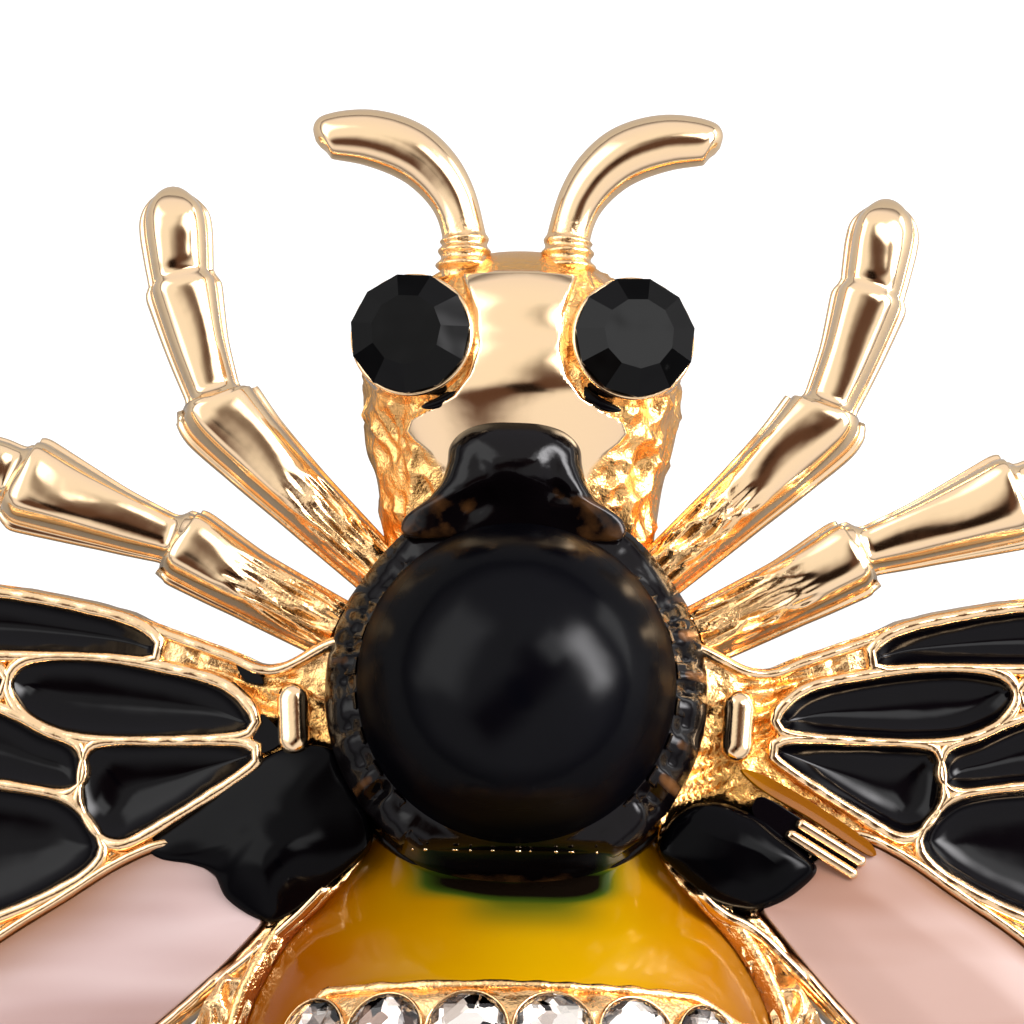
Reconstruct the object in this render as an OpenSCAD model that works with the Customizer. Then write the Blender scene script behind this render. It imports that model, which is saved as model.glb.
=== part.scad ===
// Bee brooch: a gilt casting with enamel cells, a glass bead, cut stones and a pin on its back.
// Seen from above, head towards +Y and wings along X. It lies on its pin and its wing tips.

/* [Stance] */
// Height of the casting's flat back above the surface that the brooch lies on
stand_h = 3.2; // [2.8:0.1:4]
// Gap between a piece and what it is set in
gap = 0.04; // [0.02:0.01:0.08]

/* [Thorax] */
// Diameter of the glass bead that forms the thorax
bead_d = 8; // [7.4:0.1:8.6]
// Height of the straight band under the bead's dome
bead_band_h = 1.3; // [0.8:0.1:1.6]
// Height of the bead's seat above the casting's back
bead_seat_h = 2; // [1.6:0.1:2.4]
// Height of the claws above the bead's seat
claw_h = 1.1; // [0.8:0.1:1.3]
// Width of one claw at its foot
claw_w = 0.62; // [0.4:0.02:0.75]
// Number of claws round the bead
claws = 28; // [20:1:32]
// Thickness of a claw at its top
claw_t = 0.22; // [0.16:0.02:0.3]
// How far the claws' foot stands out past their top
cup_flare = 0.7; // [0.5:0.05:0.9]
// Height of the round foot that the claws stand on
foot_h = 0.9; // [0.7:0.1:1.2]

/* [Head] */
// Length of the head from the neck to the crown
head_l = 6.8; // [6:0.1:7.4]
// Width of the head across its cheeks
head_w = 8.1; // [7.4:0.1:8.6]
// Height of the head above the back
head_h = 3.9; // [3.4:0.1:4.4]
// Diameter of an eye stone
eye_d = 3; // [2.6:0.1:3.2]
// Distance between the centres of the eyes
eye_pitch = 5.62; // [5.2:0.1:6]
// Outward lean of the eyes in degrees
eye_lean = 12; // [6:1:18]
// Wall of the round cup under an eye
eye_wall = 0.24; // [0.2:0.02:0.3]
// Thickness of the black cap over the neck
neck_cap_h = 1.25; // [0.9:0.05:1.5]
// Length of an antenna from its root to its tip, across both of its directions
antenna_reach = 3.9; // [3.4:0.1:4.4]
// Greatest thickness of an antenna
antenna_w = 1.42; // [1.2:0.05:1.6]

/* [Legs] */
// Reach of a front leg from the thorax's centre line, sideways
front_leg_x = 8.8; // [8.2:0.1:9.4]
// Reach of a front leg from the bead's centre towards the head
front_leg_y = 12.9; // [12:0.1:13.6]
// Reach of a middle leg, sideways
mid_leg_x = 15.1; // [14:0.1:16]
// Reach of a middle leg from the bead's centre towards the head
mid_leg_y = 5.95; // [5.6:0.1:6.4]
// Width of a leg at its knee
leg_w = 2.05; // [1.8:0.05:2.3]
// Height of a leg at its knee
leg_h = 1.5; // [1.2:0.05:1.7]

/* [Wings] */
// Distance from the bead's centre line to the tip of a fore wing
wing_x = 22.4; // [21:0.1:24]
// Depth of the fore and hind wing together, along the body
wing_y = 16.6; // [16:0.1:17.4]
// Thickness of the wings' floor under the enamel
wing_floor = 0.55; // [0.45:0.05:0.7]
// Height of the gold veins above the wings' underside
vein_h = 1.25; // [1.1:0.05:1.4]
// How far the enamel stays below the top of the veins
enamel_drop = 0.12; // [0.08:0.02:0.2]

/* [Abdomen] */
// Length of the abdomen from inside the claws' foot to the tail
abdomen_l = 19.2; // [18:0.1:20]
// Greatest width of the abdomen's dome
abdomen_w = 13.4; // [12.8:0.1:14]
// Greatest height of the dome above the back
abdomen_h = 5.6; // [5.2:0.1:6]
// Thickness of the enamel on the dome
enamel_t = 0.5; // [0.4:0.05:0.6]
// Height of the gold edge under the dome's enamel
edge_h = 0.8; // [0.6:0.05:1]
// Diameter of a crystal
crystal_d = 2; // [1.8:0.05:2.1]
// Distance between neighbouring crystals in a row
crystal_pitch = 2.14; // [2.14:0.02:2.2]

/* [Pin] */
// Length of the bar on the back
bar_l = 22; // [20:0.5:24]
// Width of the bar
bar_w = 3; // [2.6:0.1:3.6]
// Thickness of the bar
bar_t = 0.6; // [0.5:0.05:0.8]
// Diameter of the pin's stem
stem_d = 0.9; // [0.8:0.05:1]
// Diameter of the hinge's and the catch's round ends
hook_d = 2.3; // [2.2:0.05:2.5]
// Length of the hinge block and of the catch along the bar
hook_l = 2; // [1.6:0.1:2.4]

/* [Hidden] */
CELL_NAMES = ["a", "b", "c", "d", "e", "f", "g"];
SIDES = [["left", -1], ["right", 1]];
ROWS = [6, 5, 3];

gilt = "goldenrod";
black = "#151316";
pearl = "#dcc4bc";
yellow = "#e6b400";
steps = 3;
overlap = 0.02;
// Depth of a cut stone below its girdle, as a share of its diameter
stone_depth = 0.36;

bead_r = bead_d / 2;
cup_top_r = bead_r + gap + claw_t;
cup_r = cup_top_r + cup_flare;
seat_z = stand_h + bead_seat_h;
claw_top_z = seat_z + claw_h;

// Helpers: curves, rings and skins

function mix(a, b, s) = a + (b - a) * s;

// Point at share s of the curve between b and c, where a and d are the neighbours
function curve_point(a, b, c, d, s) =
    0.5 * (2 * b + (c - a) * s + (2 * a - 5 * b + 4 * c - d) * s * s + (3 * b - a - 3 * c + d) * s * s * s);

// Closed smooth outline through the points
function closed_curve(p) = [
    for (i = [0:len(p) - 1], k = [0:steps - 1])
        curve_point(p[(i + len(p) - 1) % len(p)], p[i], p[(i + 1) % len(p)], p[(i + 2) % len(p)], k / steps)
];

// Smooth rows between the rows of a table
function open_curve(p, n = steps) = concat(
    [for (i = [0:len(p) - 2], k = [0:n - 1])
        curve_point(p[max(i - 1, 0)], p[i], p[i + 1], p[min(i + 2, len(p) - 1)], k / n)],
    [p[len(p) - 1]]
);

// Outline points from shares of a width and a depth
function sized(table, w, d) = [for (p = table) [p[0] * w, p[1] * d]];

// The same outline grown or shrunk towards its middle
function middle(p) = [for (a = [0, 1]) (max([for (q = p) q[a]]) + min([for (q = p) q[a]])) / 2];
function about(p, m, s) = [for (q = p) m + (q - m) * s];

// Solid between rings of equally many points that run anticlockwise seen from the last ring's side
module skin(rings) {
    n = len(rings[0]);
    last = (len(rings) - 1) * n;
    sides = [
        for (i = [0:len(rings) - 2], j = [0:n - 1])
            let (a = i * n + j, b = i * n + (j + 1) % n)
                each [[a, a + n, b], [b, a + n, b + n]]
    ];
    ends = [[for (j = [0:n - 1]) j], [for (j = [n - 1:-1:0]) last + j]];
    polyhedron([for (r = rings) each r], concat(sides, ends));
}

// Cushion with a flat foot and a rounded top over an outline that runs anticlockwise
module cushion(outline, h, z) {
    m = middle(outline);
    // Share of the height and share of the outline
    profile = [[0, 1], [0.5, 1], [0.85, 0.88], [1, 0.55]];
    skin([for (q = profile) [for (p = about(outline, m, q[1])) [p[0], p[1], z + q[0] * h]]]);
}

// Ridge along a path: rows of x, y, floor height, width and height; a flange, bevelled sides and a round back
leg_section = [[-1, 0], [-1, 0.2], [-0.8, 0.62], [-0.5, 0.92], [0, 1], [0.5, 0.92], [0.8, 0.62], [1, 0.2], [1, 0]];
function turn(rows, i) = let (
    a = rows[max(i - 1, 0)], b = rows[min(i + 1, len(rows) - 1)]
) atan2(b[1] - a[1], b[0] - a[0]);
function ridge_rings(rows) = [
    for (i = [0:len(rows) - 1]) let (r = rows[i], t = turn(rows, i))
        [for (q = leg_section) [
            r[0] + sin(t) * q[0] * r[3] / 2,
            r[1] - cos(t) * q[0] * r[3] / 2,
            r[2] + q[1] * r[4]]]
];
module ridge(rows) {
    skin(ridge_rings(rows));
}

// Mirrors a piece to the left or keeps it on the right
module on_side(s) {
    mirror([s < 0 ? 1 : 0, 0, 0]) children();
}

// Legs: shares of the sideways reach, of the forward reach, of the width and of the height
FRONT_LEG = [
    [0.36, 0.22, 0.64, 0.72],
    [0.62, 0.40, 0.76, 0.86],
    [0.77, 0.50, 0.88, 0.95],
    [0.855, 0.563, 1.00, 1.00],
    [0.875, 0.585, 0.98, 0.98],
    [0.88, 0.595, 0.72, 0.80],
    [0.93, 0.70, 0.80, 0.84],
    [0.965, 0.80, 0.94, 0.90],
    [0.972, 0.822, 0.94, 0.90],
    [0.975, 0.832, 0.72, 0.74],
    [0.98, 0.85, 0.76, 0.80],
    [0.99, 0.92, 0.78, 0.80],
    [0.998, 0.975, 0.60, 0.62],
    [1.00, 1.00, 0.26, 0.36]
];
MID_LEG = [
    [0.26, 0.24, 0.72, 0.72],
    [0.45, 0.48, 0.78, 0.84],
    [0.545, 0.615, 0.92, 0.94],
    [0.563, 0.64, 0.92, 0.94],
    [0.575, 0.655, 0.54, 0.70],
    [0.675, 0.74, 0.74, 0.82],
    [0.815, 0.875, 1.10, 0.96],
    [0.835, 0.895, 1.08, 0.94],
    [0.843, 0.905, 0.68, 0.70],
    [0.865, 0.925, 0.76, 0.78],
    [0.93, 0.962, 0.78, 0.78],
    [0.975, 0.985, 0.58, 0.60],
    [1.00, 1.00, 0.24, 0.34]
];
leg_floor_z = stand_h + 0.25;
function leg_rows(table, x, y) = [
    for (r = table) [r[0] * x, r[1] * y, leg_floor_z, r[2] * leg_w, r[3] * leg_h]
];

module legs() {
    for (s = SIDES)
        on_side(s[1]) {
            ridge(leg_rows(FRONT_LEG, front_leg_x, front_leg_y));
            ridge(leg_rows(MID_LEG, mid_leg_x, mid_leg_y));
        }
}

// Head: shares of its length, of half its width and of its height
HEAD = [
    [0.00, 0.72, 0.44],
    [0.16, 0.84, 0.60],
    [0.38, 0.97, 0.84],
    [0.56, 0.98, 0.98],
    [0.74, 0.86, 1.00],
    [0.88, 0.62, 0.86],
    [0.97, 0.38, 0.62],
    [1.00, 0.22, 0.34]
];
neck_y = cup_r - 0.35;
arch_points = 14;
head_full = 0.62;
dome_full = 1.35;

// Point of an arch at turn t, from -x over the top to +x
function arch_point(w, h, y, t, full) = [-w * cos(t), y, stand_h + h * pow(max(sin(t), 0), full)];
function arch(w, h, y, full) = [
    for (k = [0:arch_points]) arch_point(w, h, y, 180 * k / arch_points, full)
];

module head() {
    rows = open_curve(HEAD, 2);
    skin([for (r = rows) arch(r[1] * head_w / 2, r[2] * head_h, neck_y + r[0] * head_l, head_full)]);
}

// Eyes: a stone in a round cup, leaning outwards
eye_y = neck_y + 0.605 * head_l;
eye_z = stand_h + head_h + 0.1;
eye_seat = eye_d * stone_depth + gap;
module at_eye(s) {
    on_side(s)
        translate([eye_pitch / 2, eye_y, eye_z])
            rotate([0, eye_lean, 0])
                children();
}

module eye_cup(s) {
    at_eye(s)
        translate([0, 0, -eye_seat - head_h / 2])
            cylinder(h = head_h / 2 + eye_seat, r1 = eye_d * 0.35, r2 = eye_d / 2 + gap + eye_wall, $fn = 24);
}

module eye_pocket(s) {
    at_eye(s)
        translate([0, 0, -eye_seat])
            cylinder(h = eye_seat + head_h / 2, d = eye_d + 2 * gap, $fn = 24);
}

// Antennae: shares of the reach from the root, of the reach again, and of the thickness
ANTENNA = [
    [0.00, -0.16, 0.74],
    [0.00, 0.00, 0.80],
    [0.01, 0.16, 0.80],
    [0.08, 0.38, 0.85],
    [0.21, 0.57, 0.92],
    [0.39, 0.71, 1.00],
    [0.64, 0.79, 0.88],
    [0.90, 0.795, 0.66],
    [1.00, 0.76, 0.32]
];
antenna_x = 1.3;
antenna_y = neck_y + 0.955 * head_l;
antenna_z = stand_h + 0.58 * head_h;
antenna_sides = 8;
collar = 0.3;
function antenna_rings() = let (
    p = open_curve([for (r = ANTENNA) [
        antenna_x + r[0] * antenna_reach, antenna_y + r[1] * antenna_reach, antenna_z, r[2] * antenna_w]], 2)
) [
    for (i = [0:len(p) - 1]) let (t = turn(p, i))
        [for (k = [0:antenna_sides - 1]) let (a = 360 * k / antenna_sides) [
            p[i][0] - sin(t) * cos(a) * p[i][3] / 2,
            p[i][1] + cos(t) * cos(a) * p[i][3] / 2,
            p[i][2] + sin(a) * p[i][3] / 2]]
];

module antennae() {
    for (s = SIDES)
        on_side(s[1]) {
            skin(antenna_rings());
            translate([antenna_x, antenna_y + collar, antenna_z])
                rotate([-90, 0, 0])
                    cylinder(h = collar, d = antenna_w, $fn = 16);
        }
}

// Neck cap: shares of its half width and of its length, beside the bead
NECK = [
    [0.00, 1.00], [0.42, 0.93], [0.62, 0.66], [0.70, 0.40], [0.92, 0.22],
    [1.00, -0.02], [0.82, -0.14], [0.42, -0.02], [0.00, 0.04]
];
neck_w = bead_d * 0.68;
neck_l = bead_d * 0.29;
neck_z = claw_top_z + gap;
function both_sides(p) = concat(p, [for (i = [len(p) - 2:-1:1]) [-p[i][0], p[i][1]]]);
function neck_outline() = [
    for (q = closed_curve(both_sides(sized(NECK, neck_w / 2, neck_l))))
        [-q[0], cup_top_r + gap + q[1]]
];

// Thorax: a round foot, a flared skirt with claws, and the seat of the bead
module cup() {
    translate([0, 0, stand_h])
        cylinder(h = foot_h, r = cup_r, $fn = 48);
    translate([0, 0, stand_h + foot_h - overlap])
        cylinder(h = bead_seat_h + claw_h / 2 - foot_h, r1 = cup_r - claw_t, r2 = cup_top_r - claw_t / 3, $fn = 48);
    for (k = [0:claws - 1])
        rotate([0, 0, 360 * (k + 0.5) / claws])
            claw();
}

module claw() {
    root = 0.5;
    hull() {
        translate([cup_r - root - claw_t / 2, -claw_w / 2, stand_h + foot_h - overlap])
            cube([root + claw_t / 2, claw_w, overlap]);
        translate([cup_top_r - claw_t, -claw_w * 0.4, claw_top_z - overlap])
            cube([claw_t, claw_w * 0.8, overlap]);
    }
}

module bead_pocket() {
    translate([0, 0, seat_z - gap])
        cylinder(h = bead_d, r = bead_r + gap, $fn = 48);
}

// Wings: one plate a side, drawn flat and then turned down so that its tips touch the surface
// Shares of the wing's reach and of its depth, round the fore wing, the hind wing and back to the thorax
WING = [
    [0.18, 0.090], [0.262, 0.052], [0.312, 0.074], [0.384, 0.110], [0.460, 0.146], [0.571, 0.178],
    [0.692, 0.188], [0.813, 0.166], [0.920, 0.096], [0.985, -0.008], [1.00, -0.120], [0.960, -0.252],
    [0.875, -0.358], [0.768, -0.418], [0.700, -0.432], [0.716, -0.510], [0.766, -0.620],
    [0.772, -0.725], [0.730, -0.806], [0.655, -0.812], [0.560, -0.735], [0.470, -0.628],
    [0.388, -0.520], [0.318, -0.442], [0.250, -0.368], [0.196, -0.296], [0.160, -0.220], [0.150, -0.060]
];
// Enamel cells of the fore wing
CELL_A = [
    [0.402, 0.072], [0.414, 0.096], [0.462, 0.120], [0.571, 0.150], [0.690, 0.160],
    [0.776, 0.142], [0.802, 0.112], [0.730, 0.088], [0.571, 0.085], [0.450, 0.077]
];
CELL_B = [
    [0.294, -0.030], [0.324, 0.008], [0.384, 0.032], [0.464, 0.052], [0.531, 0.051], [0.552, 0.030],
    [0.538, -0.008], [0.500, -0.036], [0.442, -0.048], [0.366, -0.049], [0.302, -0.044]
];
CELL_C = [
    [0.299, -0.080], [0.380, -0.077], [0.450, -0.077], [0.466, -0.094],
    [0.466, -0.140], [0.453, -0.172], [0.433, -0.187], [0.408, -0.176], [0.304, -0.096]
];
CELL_D = [
    [0.486, -0.082], [0.522, -0.058], [0.572, -0.024], [0.660, 0.016], [0.722, 0.020],
    [0.740, -0.008], [0.700, -0.060], [0.640, -0.096], [0.571, -0.110], [0.490, -0.126]
];
CELL_E = [
    [0.464, -0.200], [0.500, -0.158], [0.572, -0.138], [0.668, -0.122], [0.748, -0.104], [0.790, -0.150],
    [0.796, -0.244], [0.770, -0.344], [0.690, -0.354], [0.572, -0.290], [0.508, -0.262], [0.472, -0.234]
];
CELL_F = [
    [0.574, 0.024], [0.602, 0.052], [0.690, 0.058], [0.800, 0.076], [0.880, 0.052],
    [0.900, -0.004], [0.850, -0.048], [0.776, -0.030], [0.745, 0.034], [0.660, 0.044]
];
CELL_G = [
    [0.822, -0.084], [0.880, -0.066], [0.936, -0.038], [0.968, -0.120],
    [0.930, -0.238], [0.858, -0.326], [0.812, -0.330], [0.830, -0.230], [0.816, -0.140]
];
// Pearl cell of the hind wing and black cell on the shoulder
PEARL = [
    [0.372, -0.214], [0.336, -0.260], [0.306, -0.300], [0.284, -0.342], [0.330, -0.400], [0.384, -0.466],
    [0.455, -0.556], [0.540, -0.664], [0.628, -0.748], [0.700, -0.768], [0.744, -0.728], [0.750, -0.650],
    [0.712, -0.556], [0.648, -0.470], [0.571, -0.386], [0.500, -0.318], [0.436, -0.258]
];
SHOULDER = [
    [0.225, -0.102], [0.214, -0.150], [0.200, -0.208], [0.190, -0.262], [0.210, -0.290], [0.246, -0.314],
    [0.282, -0.322], [0.322, -0.272], [0.342, -0.232], [0.300, -0.188], [0.256, -0.136]
];
CELLS = [CELL_A, CELL_B, CELL_C, CELL_D, CELL_E, CELL_F, CELL_G];

// The wings turn down towards this direction, about a line through their root
wing_way = -28;
wing_root = [wing_x * 0.268, -wing_y * 0.12];
way = [cos(wing_way), sin(wing_way)];
function outward(p) = (p - wing_root) * way;
wing_plan = closed_curve(sized(WING, wing_x, wing_y));
wing_tip = max([for (p = wing_plan) outward(p)]);
wing_drop = atan(stand_h / wing_tip);

// A plan point in the plate's own plane, so that seen from above it lies where the table says
function in_plane(p) = p + way * outward(p) * (1 / cos(wing_drop) - 1);
function flat_outline(table) = [for (p = closed_curve(sized(table, wing_x, wing_y))) in_plane(p)];

module on_wing(s) {
    on_side(s)
        translate([wing_root[0], wing_root[1], stand_h])
            rotate([0, 0, wing_way])
                rotate([0, wing_drop, 0])
                    rotate([0, 0, -wing_way])
                        translate([-wing_root[0], -wing_root[1], 0])
                            children();
}

module wing_plate(s) {
    on_wing(s)
        difference() {
            linear_extrude(vein_h)
                polygon(flat_outline(WING));
            cell_pockets(concat(CELLS, [PEARL]));
        }
}

// Room for enamel over the wings' floor, open above
module cell_pockets(tables) {
    translate([0, 0, wing_floor])
        linear_extrude(vein_h)
            offset(delta = gap)
                for (c = tables)
                    polygon(flat_outline(c));
}

module wing_enamel(table, s) {
    on_wing(s)
        translate([0, 0, wing_floor + gap])
            linear_extrude(vein_h - enamel_drop - wing_floor - gap)
                polygon(flat_outline(table));
}

module shoulder_enamel(s) {
    on_wing(s)
        cushion(flat_outline(SHOULDER), vein_h - wing_floor + 0.35, wing_floor + gap);
}

// Abdomen: shares of its length, of half its width and of its height
ABDOMEN = [
    [0.00, 0.54, 0.20],
    [0.08, 0.70, 0.28],
    [0.15, 0.84, 0.55],
    [0.24, 0.95, 0.84],
    [0.32, 1.00, 0.96],
    [0.42, 1.00, 1.00],
    [0.54, 0.96, 0.98],
    [0.66, 0.86, 0.88],
    [0.78, 0.70, 0.70],
    [0.88, 0.50, 0.48],
    [0.96, 0.28, 0.26],
    [1.00, 0.10, 0.12]
];
// Where each enamel band starts and ends, as shares of the length; the first starts at the thorax's foot
BANDS = [[0, 0.232], [0.375, 0.500], [0.630, 0.745], [0.868, 0.965]];
BAND_COLOURS = [yellow, black, yellow, black];
// Middle of each row of crystals
CRYSTAL_ROWS = [0.303, 0.565, 0.806];
abdomen_y = -cup_r * 0.69;
dome_start = 0.03;
edge_out = 0.3;
tail_y = abdomen_y - abdomen_l - edge_out;
// The table with shares of length that run in even steps
SHAPE = open_curve(ABDOMEN, 6);
function row_at(u) = [
    lookup(u, [for (r = SHAPE) [r[0], r[1]]]) * abdomen_w / 2,
    lookup(u, [for (r = SHAPE) [r[0], r[2]]]) * abdomen_h
];
// Point of the dome at share u of the length and turn t, sunk by a depth
function dome_point(u, t, sunk) = let (r = row_at(u))
    arch_point(r[0] - sunk, r[1] - sunk, abdomen_y - u * abdomen_l, t, dome_full);

function between(a, b, n) = [for (k = [0:n]) mix(a, b, k / n)];
module dome() {
    skin([for (u = between(1, dome_start, 24)) let (r = row_at(u))
        arch(r[0], r[1], abdomen_y - u * abdomen_l, dome_full)]);
}

// Plate under the dome with an upright edge
module dome_edge() {
    right = [for (u = between(dome_start, 1, 24)) [row_at(u)[0], abdomen_y - u * abdomen_l]];
    outline = concat(right, [for (i = [len(right) - 1:-1:0]) [-right[i][0], right[i][1]]]);
    translate([0, 0, stand_h])
        linear_extrude(edge_h)
            offset(delta = edge_out)
                polygon(outline);
}

// Share of the length where the thorax's foot meets the dome at turn t, found by a few steps
function foot_share(t, sunk, clear, n = 8, u = 0.05) = n == 0 ? u : let (
    x = (row_at(u)[0] - sunk) * cos(t), r = cup_r + clear
) foot_share(t, sunk, clear, n - 1, max(0, (abdomen_y + sqrt(max(0, r * r - x * x))) / abdomen_l));

// Curved shell between two depths under the dome, from share u0 or the thorax's foot to share u1
band_turn = 14;
band_steps = 14;
band_rows = 4;
module band_shell(u0, u1, t0, depths, clear) {
    turns = between(t0, 180 - t0, band_steps);
    m = len(turns);
    layer = (band_rows + 1) * m;
    points = [
        for (sunk = depths, i = [0:band_rows], t = turns)
            dome_point(mix(u0 > 0 ? u0 : foot_share(t, sunk, clear), u1, i / band_rows), t, sunk)
    ];
    faces = [
        for (i = [0:band_rows - 1], j = [0:m - 2]) let (a = i * m + j, b = a + m)
            each [[a, a + 1, b], [a + 1, b + 1, b], [layer + a, layer + b, layer + a + 1],
                  [layer + a + 1, layer + b, layer + b + 1]]
    ];
    rims = [
        for (j = [0:m - 2]) let (b = band_rows * m + j)
            each [[j, layer + j, j + 1], [j + 1, layer + j, layer + j + 1],
                  [b, b + 1, layer + b], [b + 1, layer + b + 1, layer + b]]
    ];
    ends = [
        for (i = [0:band_rows - 1]) let (a = i * m, b = a + m, c = a + m - 1, d = b + m - 1)
            each [[a, b, layer + a], [b, layer + b, layer + a],
                  [c, layer + c, d], [d, layer + c, layer + d]]
    ];
    polyhedron(points, concat(faces, rims, ends));
}

module band(b) {
    band_shell(BANDS[b][0], BANDS[b][1], band_turn, [0, enamel_t], 2 * gap);
}

// Room for a band, open above
module band_pocket(b) {
    share = gap / abdomen_l;
    above = -0.5;
    band_shell(BANDS[b][0] - share, BANDS[b][1] + share, band_turn - 1.5, [above, enamel_t + 2 * gap], -gap);
}

// Crystals: placed by the length along the arch, upright to the dome
walk_step = 0.5;
function walk(u, t, s) = s <= 0 ? t
    : walk(u, t + walk_step, s - norm(dome_point(u, t, 0) - dome_point(u, t + walk_step, 0)));
function crystal_turn(r, k) = let (s = (k - (ROWS[r] + 1) / 2) * crystal_pitch, t = walk(CRYSTAL_ROWS[r], 90, abs(s)))
    s < 0 ? 180 - t : t;
module at_crystal(r, k) {
    u = CRYSTAL_ROWS[r];
    t = crystal_turn(r, k);
    p = dome_point(u, t, 0);
    n = cross(dome_point(u, t + 1, 0) - dome_point(u, t - 1, 0), dome_point(u - 0.01, t, 0) - dome_point(u + 0.01, t, 0));
    translate(p)
        rotate([0, acos(n[2] / norm(n)), atan2(n[1], n[0])])
            children();
}

// Cut stone: a table, a crown and a point below, its girdle at height 0
module cut_stone(d, facets) {
    table_r = d * 0.29;
    crown = d * 0.17;
    girdle = d * 0.03;
    hull() {
        rotate([0, 0, 180 / facets])
            cylinder(h = crown, r = table_r, $fn = facets);
        translate([0, 0, -girdle])
            cylinder(h = girdle * 2, d = d, $fn = facets * 2);
        translate([0, 0, -d * stone_depth])
            cylinder(h = girdle, r = d * 0.06, $fn = facets);
    }
}
crystal_lift = 0.12;
crystal_seat = 0.85;

module crystal(r, k) {
    color("#eef2f5")
        at_crystal(r, k)
            translate([0, 0, crystal_lift])
                cut_stone(crystal_d, 8);
}

module crystal_pockets() {
    for (r = [0:2], k = [1:ROWS[r]])
        at_crystal(r, k) {
            translate([0, 0, -crystal_seat])
                cylinder(h = crystal_seat, r1 = crystal_d * 0.12, r2 = crystal_d / 2 + gap, $fn = 16);
            translate([0, 0, -overlap])
                cylinder(h = 1, r = crystal_d / 2 + gap, $fn = 16);
        }
}

module eye_stone(s) {
    color(black)
        at_eye(s)
            cut_stone(eye_d, 8);
}

// The whole piece lies with its box centred on the origin
front_y = max([for (r = antenna_rings(), q = r) q[1]]);
row_y = -(front_y + tail_y) / 2;
module placed() {
    translate([0, row_y, 0])
        children();
}

module casting() {
    color(gilt)
        placed()
            difference() {
                union() {
                    cup();
                    head();
                    for (s = SIDES) {
                        eye_cup(s[1]);
                        wing_plate(s[1]);
                    }
                    antennae();
                    legs();
                    dome();
                    dome_edge();
                    neck_seat();
                }
                bead_pocket();
                for (s = SIDES) {
                    eye_pocket(s[1]);
                    on_wing(s[1])
                        cell_pockets([SHOULDER]);
                }
                for (b = [0:3])
                    band_pocket(b);
                crystal_pockets();
            }
}

module neck_seat() {
    translate([0, 0, stand_h])
        linear_extrude(neck_z - gap - stand_h)
            polygon(neck_outline());
}

module neck_cap() {
    color(black)
        placed()
            cushion(neck_outline(), neck_cap_h, neck_z);
}

// Glass bead: a short straight band under a half ball
module thorax_bead() {
    color(black)
        placed()
            translate([0, 0, seat_z])
                rotate_extrude()
                    intersection() {
                        union() {
                            translate([0, bead_band_h])
                                circle(r = bead_r, $fn = 64);
                            square([bead_r, bead_band_h]);
                        }
                        square([bead_r, bead_r + bead_band_h]);
                    }
}

// Pin on the back: bar, hinge block, stem and hooked catch in one piece
stem_z = hook_d / 2;
stem_out = 0.4;
catch_play = 0.12;
pin_y = -bar_l * 0.11;
module pin_fastening() {
    hinge_y = bar_l / 2 - hook_l;
    color(gilt)
        placed()
            translate([0, pin_y, 0]) {
                translate([-bar_w / 2, -bar_l / 2, stand_h - gap - bar_t])
                    cube([bar_w, bar_l, bar_t]);
                translate([0, hinge_y, 0])
                    post();
                translate([0, -bar_l / 2, 0])
                    difference() {
                        post();
                        translate([0, -1, stem_z])
                            rotate([-90, 0, 0])
                                cylinder(h = hook_l + 2, d = stem_d + 2 * catch_play);
                        translate([0, -1, stem_z - stem_d / 2 - catch_play])
                            cube([hook_d, hook_l + 2, stem_d + 2 * catch_play]);
                    }
                translate([0, -bar_l / 2 - stem_out, stem_z])
                    rotate([-90, 0, 0])
                        cylinder(h = bar_l - hook_l + 2 * stem_out, d = stem_d);
            }
}

module post() {
    translate([0, 0, stem_z])
        rotate([-90, 0, 0])
            cylinder(h = hook_l, d = hook_d);
    translate([-hook_d * 0.4, 0, stem_z])
        cube([hook_d * 0.8, hook_l, stand_h - gap - bar_t / 2 - stem_z]);
}

casting();
pin_fastening();
thorax_bead();
neck_cap();
for (s = SIDES) {
    placed() eye_stone(s[1]);
    for (c = [0:len(CELLS) - 1])
        color(black) placed() wing_enamel(CELLS[c], s[1]);
    color(pearl) placed() wing_enamel(PEARL, s[1]);
    color(black) placed() shoulder_enamel(s[1]);
}
for (b = [0:3])
    color(BAND_COLOURS[b]) placed() band(b);
for (r = [0:2], k = [1:ROWS[r]])
    placed() crystal(r, k);
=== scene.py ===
# %% [markdown]
# # A gilt bee brooch
# The brooch is one polished casting with enamel poured into its cells, a black glass bead, cut stones and a pin.
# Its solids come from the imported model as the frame. Each step below makes one piece or one finish over them.

# %% The frame and its units
import math
import bpy
import numpy as np
from mathutils import Matrix, Vector


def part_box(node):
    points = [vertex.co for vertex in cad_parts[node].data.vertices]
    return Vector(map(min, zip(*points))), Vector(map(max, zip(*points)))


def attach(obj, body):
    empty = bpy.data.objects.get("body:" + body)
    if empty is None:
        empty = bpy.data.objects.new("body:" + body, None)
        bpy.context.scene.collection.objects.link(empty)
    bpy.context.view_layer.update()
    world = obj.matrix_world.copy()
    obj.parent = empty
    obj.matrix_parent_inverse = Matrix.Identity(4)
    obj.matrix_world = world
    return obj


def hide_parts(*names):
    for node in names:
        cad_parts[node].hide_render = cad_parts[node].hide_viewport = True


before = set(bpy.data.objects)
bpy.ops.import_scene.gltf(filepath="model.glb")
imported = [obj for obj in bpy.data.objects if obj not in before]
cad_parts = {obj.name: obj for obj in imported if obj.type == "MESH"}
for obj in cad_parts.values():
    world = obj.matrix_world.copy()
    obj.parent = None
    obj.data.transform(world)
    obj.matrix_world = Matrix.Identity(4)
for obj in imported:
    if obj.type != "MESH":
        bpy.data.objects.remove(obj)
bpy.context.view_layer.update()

bead_low, bead_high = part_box("thorax_bead")
bead_y = (bead_low[1] + bead_high[1]) / 2 * 1000
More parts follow.
